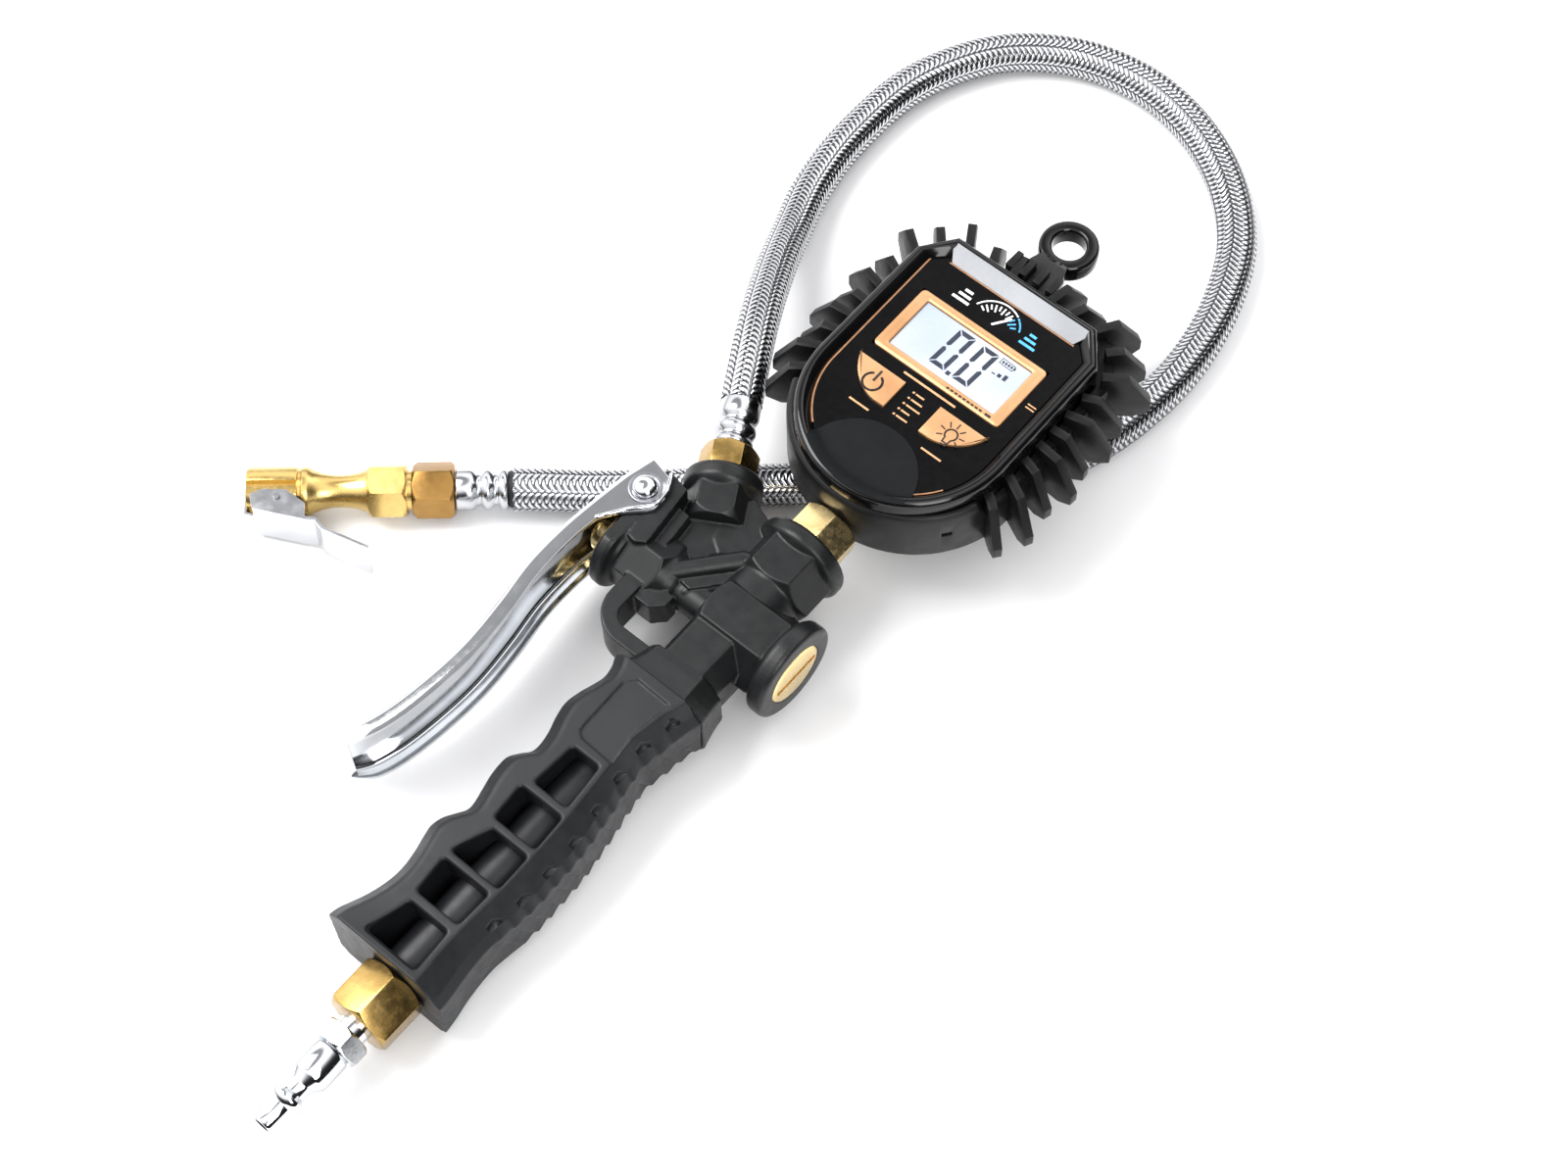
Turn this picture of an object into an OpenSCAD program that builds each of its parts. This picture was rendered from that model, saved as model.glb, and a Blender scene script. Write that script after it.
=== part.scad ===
// Tyre inflator with a digital gauge, a squeeze lever and a short braided hose ending in a lock-on chuck.
// Millimetres. The tool frame has its origin at the valve centre: +X to the end plug, +Y along the tool
// to the gauge, +Z out of the gauge face. The tool lies on its back, propped on its own hose.

/* [Pose] */
// How far the gauge end is propped up by the hose beneath it, degrees
tilt = 3.6; // [3.4:0.1:3.8]

/* [Grip] */
// Distance from the valve centre to the bottom end of the grip
grip_reach = 139; // [138:1:140]
// Front to back thickness of the grip
grip_depth = 28; // [27:0.5:29]
// Outer diameter of the air tube inside the grip
tube_d = 15; // [14:0.5:16]

/* [Valve] */
// Distance across the flats of the moulded hexagons
port_af = 23.6; // [23:0.2:24]
// Diameter of the end plug flange
plug_flange_d = 31; // [30:0.5:32]
// Diameter of the gauge port flange
gauge_flange_d = 29; // [28:0.5:30]
// Angle of the hose port from the tool's length, degrees
hose_port_angle = 30; // [29:1:31]
// Diameter of the plunger
plunger_d = 12; // [11.8:0.1:12]

/* [Lever] */
// Overall width of the lever channel
lever_w = 27.8; // [27.8:0.1:28.4]
// Thickness of the lever's sheet metal
lever_t = 1.3; // [1.2:0.1:1.3]

/* [Gauge] */
// Half the width of the gauge case
case_r = 34; // [33.5:0.5:34]
// Wall of the rubber boot
boot_t = 3.7; // [3.5:0.1:4]
// How far the boot's longer fins stand out
fin_h = 12; // [10:0.5:12.5]
// Number of pitches of the fins round the boot
fin_pitches = 34; // [32:1:35]
// How far the two buttons stand proud of the face
button_rise = 1; // [0.9:0.1:1.2]

/* [Hose] */
// Outer diameter of the braided hose
hose_d = 13; // [12.8:0.1:13]
// Outer diameter of the crimped ferrules
ferrule_d = 12.6; // [12.4:0.1:12.8]
// Diameter of the chuck's barrel
chuck_d = 15; // [14.8:0.1:15.2]

/* [Hidden] */
$fn = 64;
gap = 0.3;

// Heights: the grip's lower back edge touches the table, and the tool rises from there.
flare = 1;
axis_h = grip_reach * sin(tilt) + (grip_depth / 2 + flare) * cos(tilt);
// The valve centre's place over the table, which puts the origin under the middle of the tool.
valve_at = [5.17, 12.22, 0];

module tool() {
    translate(valve_at + [0, 0, axis_h]) rotate([tilt, 0, 0]) children();
}

function tool_point(p) = valve_at + [p[0], p[1] * cos(tilt) - p[2] * sin(tilt),
    axis_h + p[1] * sin(tilt) + p[2] * cos(tilt)];

module along_x(x) {
    translate([x, 0, 0]) rotate([0, 90, 0]) children();
}

module along_y(y) {
    translate([0, y, 0]) rotate([-90, 0, 0]) children();
}

module hexagon(af, h) {
    cylinder(d = af / cos(30), h = h, $fn = 6);
}

module tube(d, bore, h) {
    difference() {
        cylinder(d = d, h = h);
        translate([0, 0, -1]) cylinder(d = bore, h = h + 2);
    }
}

// Rings of equal length, joined into one closed solid.
module skin(rings) {
    n = len(rings[0]);
    last = len(rings) - 1;
    points = [for (ring = rings) for (p = ring) p];
    sides = [for (k = [0:last - 1]) for (i = [0:n - 1]) for (half = [0, 1])
        half == 0
        ? [k * n + i, (k + 1) * n + i, k * n + (i + 1) % n]
        : [k * n + (i + 1) % n, (k + 1) * n + i, (k + 1) * n + (i + 1) % n]];
    first_cap = [[for (i = [0:n - 1]) i]];
    last_cap = [[for (i = [n - 1:-1:0]) last * n + i]];
    polyhedron(points = points, faces = concat(first_cap, sides, last_cap));
}

// ---- Inlet ----
adapter_af = 19;
adapter_len = 16;
adapter_end = grip_reach + adapter_len;
plug_thread_len = 3;
plug_hex_len = 6;

module inlet_plug() {
    color("gainsboro") tool() along_y(-adapter_end) rotate([180, 0, 0]) difference() {
        union() {
            translate([0, 0, -9]) cylinder(d = 9.6, h = 9.01);
            cylinder(d = 9.6, h = plug_thread_len);
            translate([0, 0, plug_thread_len]) hexagon(13.6, plug_hex_len);
            translate([0, 0, plug_thread_len + plug_hex_len]) rotate_extrude() polygon([[0, 0], [5, 0],
                [5.9, 0.9], [5.9, 9.6], [3.7, 12.4], [3.7, 15.6], [5.4, 16.9], [5.4, 18.2], [4.6, 19.2],
                [3.9, 19.8], [3.9, 26.4], [3.5, 26.8], [0, 26.8]]);
        }
        translate([0, 0, -10]) cylinder(d = 5, h = 50);
    }
}

module inlet_adapter() {
    color("goldenrod") tool() difference() {
        union() {
            along_y(-adapter_end) rotate([0, 0, 40]) hexagon(adapter_af, adapter_len - gap);
            along_y(-grip_reach - 1) cylinder(d = 10.5, h = 15);
        }
        along_y(-adapter_end - 1) cylinder(d = 9.7, h = 11);
        along_y(-adapter_end) cylinder(d = 6, h = 60);
    }
}

// ---- Grip ----
grip_top = 31;
groove_pitch = 25;

function flare_at(s) = max(0, s - 124) / 15;
// Finger side: a wave that swells towards the bottom, then flares.
function grip_left(s) = -(14.6 + 0.045 * (s - 30) + 1.8 * cos(360 * (s - 29) / groove_pitch)
    + 4.6 * pow(flare_at(s), 2));
// Palm side: a hollow below the shoulder and a long swell lower down.
function grip_right(s) = 12.1 + 2.4 * cos(360 * (s - 24) / 58) * (s < 53 ? 1 : 0)
    + (s < 53 ? 0 : 5 * sin(min(90, (s - 53) * 2.1)) - 2.4) + 1.4 * pow(flare_at(s), 2)
    - 1.4 * max(0, (s - 100) / 24) * (s < 124 ? 1 : 1 / max(1, (s - 100) / 24));
function grip_half(s) = grip_depth / 2 + flare * pow(flare_at(s), 2);
function grip_ring(s) =
    let (l = grip_left(s), r = grip_right(s), h = grip_half(s))
    [[r, -s, 2 - h], [r - 2, -s, -h], [l + 2, -s, -h], [l, -s, 2 - h],
    [l, -s, h - 4.5], [l + 3.5, -s, h], [r - 6.5, -s, h], [r, -s, h - 6.5]];

window_tops = [61, 78.5, 93, 107, 122];
window_ends = [75, 90, 104.2, 119, 135];

module grip() {
    color("#2b2c2e") tool() difference() {
        skin([for (i = [0:36]) grip_ring(grip_top + (grip_reach - grip_top) * (36 - i) / 36)]);
        along_y(-grip_reach - 1) cylinder(d = tube_d + 0.4, h = grip_reach);
        for (i = [0:4]) {
            left = max(grip_left(window_tops[i]), grip_left(window_ends[i])) + 7.5;
            translate([0, 0, -grip_depth / 2 + 3]) linear_extrude(40) polygon([[left, -window_tops[i]],
                [5.8, -window_tops[i]], [6.3, -window_ends[i]], [left - i * 0.4, -window_ends[i]]]);
        }
        translate([-7, -58, grip_depth / 2 - 0.6]) cube([12.5, 25, 2]);
    }
}

module air_tube() {
    color("#242526") tool() difference() {
        along_y(-grip_reach) cylinder(d = tube_d, h = grip_reach - 23 - gap);
        along_y(-grip_reach - 1) cylinder(d = 10.6, h = 15.5);
        along_y(-grip_reach - 1) cylinder(d = 7, h = 150);
    }
}

// ---- Valve ----
neck_top = 18;
ear_half = 12.2;
cross_l = -7;
cross_r = 17;
flange_r_x = 23;
port_l_x = -44.5;
gauge_port_y = 33;
hose_port_at = [-13.5, 0];
hose_flange_s = 41.5;

module hose_port_axis() {
    translate([hose_port_at[0], hose_port_at[1], 0]) rotate([0, 0, hose_port_angle]) children();
}

module rounded_flange(d, h) {
    rotate_extrude() polygon([[0, 0], [d / 2 - 2, 0], [d / 2, 2], [d / 2, h - 0.8], [d / 2 - 0.8, h], [0, h]]);
}

module collar() {
    top = [for (p = [[9.5, -8], [6.5, -11], [-5.5, -11], [-8.5, -8], [-8.5, 8], [-5.5, 11], [4.5, 11],
        [9.5, 6]]) [p[0], -neck_top, p[1]]];
    skin([[for (p = grip_ring(grip_top)) [p[0], p[1] + gap, p[2]]], top]);
}

module guard_loop() {
    translate([0, 0, -6.5]) linear_extrude(13) difference() {
        union() {
            translate([-21.5, -11]) circle(r = 14.6);
            translate([-21.5, -25.6]) square([12, 12]);
            translate([-36.1, -11]) square([10, 11]);
        }
        polygon([[-27, -21.5], [-5, -21.5], [-5, -8.5], [-17.5, -8.5], [-21.5, -12.5], [-27, -12.5]]);
        translate([-60, -1]) square([100, 40]);
        translate([-9, -40]) square([30, 60]);
    }
}

module valve_solid() {
    along_x(cross_l) rotate([0, 0, 30]) hexagon(port_af, cross_r - cross_l + 0.5);
    along_x(cross_r) rounded_flange(plug_flange_d, flange_r_x - cross_r);
    along_y(-neck_top) intersection() {
        cylinder(d = 22.4, h = 30);
        translate([-8.5, -10, 0]) cube([18, 20, 30]);
    }
    collar();
    along_y(8) hexagon(port_af, 20.5);
    along_y(gauge_port_y - 5.5) rounded_flange(gauge_flange_d, 5.5);
    along_x(-38.5) hexagon(19, 13);
    along_x(port_l_x) intersection() {
        cylinder(d = 27, h = 4.5);
        translate([-ear_half, -20, -1]) cube([2 * ear_half, 40, 10]);
    }
    along_x(port_l_x + 4) cylinder(d = 21, h = 4);
    along_x(-26) cylinder(d = 15.5, h = 5.5);
    along_x(-21) cylinder(d = 10.6, h = 16);
    hose_port_axis() along_y(12) hexagon(19.6, hose_flange_s - 12 - 5);
    hose_port_axis() along_y(hose_flange_s - 6) rounded_flange(24, 6);
    translate([0, 0, -6]) linear_extrude(12) polygon([[-38, -4], [-38, 16], [-30, 24], [-16, 22],
        [-8, 18], [-8, 4], [-20, 4], [-24, -4]]);
    translate([0, 0, -9]) linear_extrude(18) polygon([[-6, 22], [-12.5, 16], [-31, -4], [-24, -6], [-8, 8]]);
    translate([0, 0, -ear_half]) linear_extrude(2 * ear_half) polygon([[-46.5, 9], [-48.4, 13], [-47, 18.5],
        [-43, 20.5], [-36, 20], [-34, 14], [-36, 5], [-40, 5], [-40, 9]]);
    guard_loop();
}

module valve_bores() {
    along_x(port_l_x - 1) cylinder(d = 16.2, h = 12.6);
    along_x(port_l_x) cylinder(d = 6.6, h = 50);
    along_x(-5) cylinder(d = 7, h = 30);
    along_x(-2) cylinder(d = 14, h = 30);
    along_x(15) cylinder(d = 20.2, h = 10);
    along_y(-40) cylinder(d = 7, h = 40);
    along_y(0) cylinder(d = 6, h = 50);
    along_y(gauge_port_y - 13.3) cylinder(d = 13, h = 20);
    along_x(-33.5) cylinder(d = 9.2, h = 2.2);
    along_y(-grip_top - 1) cylinder(d = tube_d + 0.4, h = grip_top + 1 - 23);
    hose_port_axis() along_y(2) cylinder(d = 5, h = 60);
    hose_port_axis() along_y(hose_flange_s - 11) cylinder(d = 12, h = 20);
    translate([pivot[0], pivot[1], -20]) cylinder(d = pin_d + 0.04, h = 40);
}

module valve_body() {
    color("#232425") tool() difference() {
        valve_solid();
        valve_bores();
    }
}

module end_plug() {
    color("#d8b25c") tool() difference() {
        along_x(15.4) cylinder(d = 20, h = 5.4);
        translate([20, -7.5, -0.8]) cube([2, 15, 1.6]);
        along_x(14) cylinder(d = 9, h = 2.6);
    }
}

module end_plug_seal() {
    color("black") tool() along_x(13.9) tube(13.8, 10.2, 1.3);
}

module valve_spring() {
    color("silver") tool() along_x(5.4) tube(8.6, 6.8, 9.9);
}

module poppet() {
    color("#d8b25c") tool() {
        along_x(1) cylinder(d = 10, h = 3.9);
        along_x(4.8) cylinder(d = 6.2, h = 2);
    }
}

module poppet_seal() {
    color("black") tool() along_x(-0.9) cylinder(d = 9.6, h = 1.6);
}

// ---- Plunger and lever ----
pivot = [-44.4, 13.1];
pin_d = 5;
web_x = -52.96;
dome_h = 3;

module plunger() {
    color("#c79a45") tool() {
        translate([web_x + gap, 0, 0]) rotate([0, 90, 0]) rotate_extrude() intersection() {
            translate([0, dome_h / 2 + pow(plunger_d / 2, 2) / dome_h / 2])
                circle(r = dome_h / 2 + pow(plunger_d / 2, 2) / dome_h / 2);
            square([plunger_d / 2, 17.5]);
        }
        along_x(-38) cylinder(d = 6, h = 35.5);
    }
}

module plunger_seal() {
    color("black") tool() along_x(-33.2) tube(9, 6.1, 1.6);
}

module gland() {
    color("#d8b25c") tool() difference() {
        union() {
            along_x(port_l_x - 1.2) cylinder(d = 17.8, h = 1);
            along_x(port_l_x - 0.3) cylinder(d = 16, h = 11.6);
        }
        along_x(port_l_x - 3) cylinder(d = plunger_d + 0.1, h = 14);
        along_x(port_l_x) cylinder(d = 6.6, h = 20);
    }
}

// Web of the channel from pivot to tip: hand-set points, smoothed by a Catmull-Rom curve.
lever_line = [[-49.2, 22], [-51.5, 12], [-53, 0], [-54, -12], [-53.8, -26], [-51.6, -41], [-50.2, -56],
    [-50.7, -70], [-52.5, -84], [-55.4, -94], [-59, -100.5]];

function spline(p0, p1, p2, p3, t) = 0.5 * (2 * p1 + (p2 - p0) * t + (2 * p0 - 5 * p1 + 4 * p2 - p3) * t * t
    + (3 * p1 - p0 - 3 * p2 + p3) * t * t * t);
function smooth_line(p, steps) =
    let (n = len(p))
    concat([for (i = [0:n - 2]) for (j = [0:steps - 1])
        spline(p[max(0, i - 1)], p[i], p[i + 1], p[min(n - 1, i + 2)], j / steps)], [p[n - 1]]);
function normals(p) = [for (i = [0:len(p) - 1])
    let (d = p[min(len(p) - 1, i + 1)] - p[max(0, i - 1)])
    [-d[1], d[0]] / norm(d)];
function band(p, a, b) =
    let (n = normals(p), last = len(p) - 1)
    concat([for (i = [0:last]) p[i] + n[i] * a], [for (i = [last:-1:0]) p[i] + n[i] * b]);

module lever() {
    line = smooth_line(lever_line, 4);
    arm = [for (p = line) if (p[1] < 12) p];
    color("gainsboro") tool() difference() {
        union() {
            translate([0, 0, -lever_w / 2]) linear_extrude(lever_w) polygon(band(line, -lever_t, 0));
            for (z = [-lever_w / 2, lever_w / 2 - lever_t]) {
                translate([0, 0, z]) linear_extrude(lever_t) {
                    polygon(band(arm, -lever_t, 4.4));
                    polygon([[-54.2, -5], [-53.4, 8], [-50.6, 21.6], [-48.8, 22.2], [-40, 19.8], [-37.6, 16.5],
                        [-37.6, 11.5], [-49.4, -1.5]]);
                }
            }
        }
        translate([pivot[0], pivot[1], -20]) cylinder(d = pin_d + 0.08, h = 40);
    }
}

module pivot_pin() {
    head_z = lever_w / 2 + 0.1;
    color("silver") tool() translate([pivot[0], pivot[1], 0]) {
        translate([0, 0, -head_z - 1.6]) cylinder(d = pin_d, h = 2 * head_z + 1.7);
        translate([0, 0, head_z]) cylinder(d = 7.6, h = 1.2);
        translate([0, 0, head_z + 1.1]) cylinder(d1 = 7.6, d2 = 5, h = 0.9);
    }
}

module pin_clip() {
    color("dimgray") tool() translate([pivot[0], pivot[1], -lever_w / 2 - 1]) difference() {
        cylinder(d = 9, h = 0.8);
        translate([0, 0, -1]) cylinder(d = pin_d + 0.1, h = 3);
        translate([-1.6, 0, -1]) cube([3.2, 6, 3]);
    }
}

// ---- Gauge stem ----
stem_top = 44;

module gauge_stem() {
    color("#d8b25c") tool() difference() {
        union() {
            along_y(gauge_port_y - 11) cylinder(d = 12.8, h = 12);
            along_y(gauge_port_y + gap) rotate([0, 0, 43]) hexagon(17.6, stem_top - gauge_port_y - gap);
            along_y(stem_top - 1) cylinder(d = 9.6, h = 15);
        }
        along_y(20) cylinder(d = 4, h = 50);
    }
}

module stem_seal() {
    color("black") tool() along_y(gauge_port_y - 13) tube(12.4, 8.6, 1.8);
}

// ---- Gauge ----
case_bottom = 45.5;
case_top = 135;
bow_y = case_bottom + case_r;
corner = [8, 11];
boot_back = -6;
boot_front = 17.5;
face_z = 20;
rim_z = 23;

// Outline of the case grown by g: half round below, straight sides, chamfered top corners.
function case_line(g) = concat([for (a = [180:7.5:360]) [(case_r + g) * cos(a), bow_y + (case_r + g) * sin(a)]],
    [[case_r + g, case_top - corner[1]], [case_r + g * 0.6 - corner[0], case_top + g],
    [-case_r - g * 0.6 + corner[0], case_top + g], [-case_r - g, case_top - corner[1]]]);

module slab(z0, z1, g) {
    translate([0, 0, z0]) linear_extrude(z1 - z0) polygon(case_line(g));
}

// Outline of the boot: the case's, with fuller top corners.
boot_r = case_r + boot_t;
boot_bow_y = bow_y + 2.5;
boot_top = case_top + 5;
boot_corner = [8, 11];
back_step = 2.6;
function boot_line(g = 0) =
    let (r = boot_r + g)
    concat([for (a = [180:7.5:360]) [r * cos(a), boot_bow_y + r * sin(a)]],
    [[r, boot_top - boot_corner[1]], [r - boot_corner[0], boot_top + g],
    [boot_corner[0] - r, boot_top + g], [-r, boot_top - boot_corner[1]]]);

fin_y = 99;
fin_t = 2.6;
bare_angle = 50;
ring_at = [-1.6, 157.8];
ring_z = [8.2, 15];

// Distance from the fins' centre to the boot's wall along the ray at angle a.
function wall_reach(a) =
    let (p = boot_line(), n = len(p), u = [cos(a), sin(a)])
    max([for (i = [0:n - 1])
        let (q = p[i] - [0, fin_y], e = p[(i + 1) % n] - p[i], k = u[0] * e[1] - u[1] * e[0],
            t = abs(k) < 0.001 ? -1 : (q[0] * e[1] - q[1] * e[0]) / k,
            w = abs(k) < 0.001 ? -1 : (q[0] * u[1] - q[1] * u[0]) / k)
        w >= 0 && w <= 1 ? t : -1]);

// One fin: a plate standing out by reach_out, its front edge falling away from the rim.
module fin(a, reach_out) {
    reach = wall_reach(a);
    translate([0, fin_y, 0]) rotate([0, 0, a]) translate([reach - 1.6, fin_t / 2, 0]) rotate([90, 0, 0])
        linear_extrude(fin_t) polygon([[0, -2.4], [reach_out - 1, -1.8], [reach_out + 1.6, 1.5],
            [reach_out + 1.6, 10.5], [reach_out - 2.6, 16], [0, 17]]);
}

module gauge_boot() {
    step = 360 / fin_pitches;
    color("#1d1d1f") tool() difference() {
        union() {
            translate([0, 0, boot_back]) linear_extrude(4) polygon(boot_line(-back_step));
            translate([0, 0, boot_back + 3.5]) linear_extrude(boot_front - boot_back - 3.5) polygon(boot_line());
            for (i = [1:fin_pitches - 1]) {
                a = i * step;
                if (a > bare_angle && a < 360 - bare_angle && abs(a - 182) > 7)
                    fin(a - 90, i % 2 == 0 ? fin_h : fin_h - 2.4);
            }
        }
        slab(boot_back + 2, 40, -2.3);
        slab(-0.7, 40, 0.2);
        along_y(30) cylinder(d = 10.4, h = 30);
        translate([ring_at[0] - 7.8, 132, ring_z[0] - gap]) cube([15.6, 30, ring_z[1] - ring_z[0] + 2 * gap]);
        translate([-door[0] / 2 - 2, door_y - 2, boot_back - 1]) cube([door[0] + 4, door[1] + 4, 10]);
    }
}

module back_case() {
    color("#151516") tool() difference() {
        union() {
            slab(boot_back + 2.3, 16.4, -2.6);
            slab(-0.4, 16.4, 0);
            translate([ring_at[0] - 7.4, 133, ring_z[0]]) cube([14.8, 18, ring_z[1] - ring_z[0]]);
            translate([ring_at[0], ring_at[1], ring_z[0]]) cylinder(d = 18.5, h = ring_z[1] - ring_z[0]);
        }
        slab(boot_back + 4.5, 40, -4.8);
        slab(1.8, 40, -2.2);
        along_y(30) cylinder(d = 10, h = 31);
        translate([-door[0] / 2 - gap, door_y - gap, boot_back - 1])
            cube([door[0] + 2 * gap, door[1] + 2 * gap, 10]);
        translate([ring_at[0], ring_at[1], 0]) cylinder(d = 10.5, h = 30);
        for (p = screw_spots) translate([p[0], p[1], boot_back]) cylinder(d = 2.7, h = 10);
    }
}

door = [34, 46];
door_y = 68;
screw_spots = [[-24, 120], [24, 120], [-21, 66], [21, 66]];

module case_screws() {
    color("silver") tool() for (p = screw_spots) {
        translate([p[0], p[1], boot_back + 2.6]) cylinder(d = 2.6, h = 14);
        translate([p[0], p[1], boot_back + 4.8]) cylinder(d = 5, h = 1.6);
    }
}

module bezel() {
    color("#0c0c0d") tool() difference() {
        union() {
            slab(16.6, rim_z - 2, 0);
            slab(rim_z - 2.01, rim_z, -1.2);
        }
        slab(15, 40, -5.2);
        slab(face_z, 40, -3.2);
    }
}

module face_window() {
    color("#08080a") tool() translate([0, 0, 18.3]) linear_extrude(face_z - 18.3) difference() {
        polygon(case_line(-5.4));
        translate([-23.5, 90.3]) square([47, 24.8]);
        button_outline(0.3);
        mirror([1, 0]) button_outline(0.3);
        pad_outline(0.3);
    }
}

// Quarter-round button outline on the +X side, grown by g.
module button_outline(g) {
    intersection() {
        translate([6.5 - g, 75 - g]) square([17.2 + 2 * g, 10.4 + 2 * g]);
        translate([8.6, 90.6]) circle(r = 15.7 + g);
    }
}

module button() {
    translate([0, 0, 17]) linear_extrude(face_z + button_rise - 17) button_outline(0);
    translate([0, 0, 15.6]) linear_extrude(1.6) button_outline(0.7);
}

module power_button() {
    color("#d9a066") tool() mirror([1, 0, 0]) button();
}

module light_button() {
    color("#d9a066") tool() button();
}

module pad_outline(g) {
    intersection() {
        translate([0, 48.5]) circle(r = 20.8 + g);
        polygon(case_line(-5.4 - (g > 0 ? 0 : gap)));
    }
}

module thumb_pad() {
    color("#26292b") tool() translate([0, 0, 18.3]) linear_extrude(2.2) pad_outline(0);
}

module lcd_frame() {
    color("#d9a066") tool() difference() {
        translate([-23.2, 90.6, 17.2]) cube([46.4, 24.2, 3.2]);
        translate([-19.6, 93.4, 10]) cube([39.2, 18.8, 20]);
    }
}

module lcd_panel() {
    color("#dfe6ea") tool() translate([-19.4, 93.6, 17]) cube([38.8, 18.4, 2.6]);
}

module circuit_board() {
    color("darkgreen") tool() translate([0, 0, 12.6]) linear_extrude(1.6) difference() {
        translate([-26, 63]) square([52, 55]);
        for (p = screw_spots) translate(p) circle(d = 3.4);
    }
}

module pressure_sensor() {
    color("silver") tool() {
        translate([-6, 60.4, 0.6]) cube([12, 10, 11.7]);
        along_y(58.6) cylinder(d = 7, h = 1.9);
    }
}

module battery_cells() {
    color("seagreen") tool() for (x = [-11, 0.6]) {
        translate([x + 5.2, 72, 4.7]) rotate([-90, 0, 0]) cylinder(d = 9.8, h = 38);
    }
}

module battery_door() {
    color("#19191a") tool() difference() {
        translate([-door[0] / 2, door_y, boot_back + 1]) cube([door[0], door[1], 3.6]);
        for (i = [0:4]) translate([-12, door_y + door[1] - 14 + i * 2, boot_back]) cube([24, 1, 1.6]);
    }
}

// ---- Hose and chuck ----
fitting_len = 9.5;
ferrule_s = hose_flange_s + fitting_len + gap;
ferrule_len = 16;

module hose_fitting() {
    color("#d8b25c") tool() hose_port_axis() difference() {
        union() {
            along_y(hose_flange_s + gap) hexagon(15.6, fitting_len - gap);
            along_y(hose_flange_s - 10) cylinder(d = 11.8, h = 11);
        }
        along_y(20) cylinder(d = 5, h = 60);
    }
}

// A crimped sleeve: shallow waists between full-width bands.
module ferrule(len) {
    waist = ferrule_d / 2 - 0.9;
    full = ferrule_d / 2;
    rotate_extrude() polygon([[2.5, 0], [waist, 0], [full, 1], [full, 2.5], [waist, 3.6], [waist, 5.2],
        [full, 6.3], [full, 8], [waist, 9.1], [waist, 10.7], [full, 11.8], [full, len], [2.5, len]]);
}

module fitting_ferrule() {
    color("gainsboro") tool() hose_port_axis() along_y(ferrule_s) ferrule(ferrule_len);
}

chuck_at = [-87.5, -1];
chuck_z = 8.9;
chuck_heading = 222;
chuck_ferrule_len = 16;

module chuck_line() {
    translate(valve_at + [chuck_at[0], chuck_at[1], chuck_z]) rotate([0, 0, chuck_heading]) children();
}

hose_start_s = ferrule_s + ferrule_len;
function port_dir() = [-sin(hose_port_angle), cos(hose_port_angle)];
hose_from = tool_point([hose_port_at[0] + port_dir()[0] * hose_start_s,
    hose_port_at[1] + port_dir()[1] * hose_start_s, 0]);
hose_to = valve_at + [chuck_at[0], chuck_at[1], chuck_z];

// The hose's own lie: off the fitting, down to the table, round the gauge and back beneath the tool.
hose_lie = [[-55.5, 72, 27.5], [-65, 88, 25], [-76, 108, 18], [-86, 129, 10.5], [-94, 150, 7.4], [-98, 175, 6.6],
    [-96.5, 205, 6.6], [-84.5, 232, 6.6], [-64, 249, 6.6], [-40, 255, 6.6], [-16, 251, 6.6], [6, 239, 6.6],
    [23, 221, 6.6], [33, 199, 6.6], [38, 176, 6.6], [38.5, 155, 6.6], [35, 132, 6.6], [27, 111, 6.6],
    [13, 92, 6.6], [-5, 75, 6.6], [-27, 56, 6.6], [-50, 33.5, 6.6], [-68, 16.5, 7.3], [-79, 6.6, 8.4]];
hose_route = concat([hose_from], [for (p = hose_lie) valve_at + p], [hose_to]);
hose_sides = 12;
hose_steps = 3;

function unit(v) = v / norm(v);
// Tube rings square to the route, with one side kept level.
function hose_rings(path) = [for (i = [0:len(path) - 1])
    let (d = i == 0 ? [port_dir()[0], port_dir()[1] * cos(tilt), port_dir()[1] * sin(tilt)]
        : i == len(path) - 1 ? [cos(chuck_heading), sin(chuck_heading), 0]
        : unit(path[i + 1] - path[i - 1]),
        a = unit(cross([0, 0, 1], d)),
        b = cross(d, a))
    [for (k = [0:hose_sides - 1])
        path[i] + (cos(360 * k / hose_sides) * a + sin(360 * k / hose_sides) * b) * hose_d / 2]];

module hose() {
    color("silver") skin(hose_rings(smooth_line(hose_route, hose_steps)));
}

nut_s = chuck_ferrule_len + gap;
chuck_s = nut_s + 13.5;
barrel_s = 59.5;
chuck_end = 78;

module chuck_ferrule() {
    color("gainsboro") chuck_line() along_x(0.01) ferrule(chuck_ferrule_len);
}

module hose_nut() {
    color("#c99b3f") chuck_line() difference() {
        along_x(nut_s) hexagon(15, 12.5);
        along_x(nut_s - 1) cylinder(d = 5, h = 30);
    }
}

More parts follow.
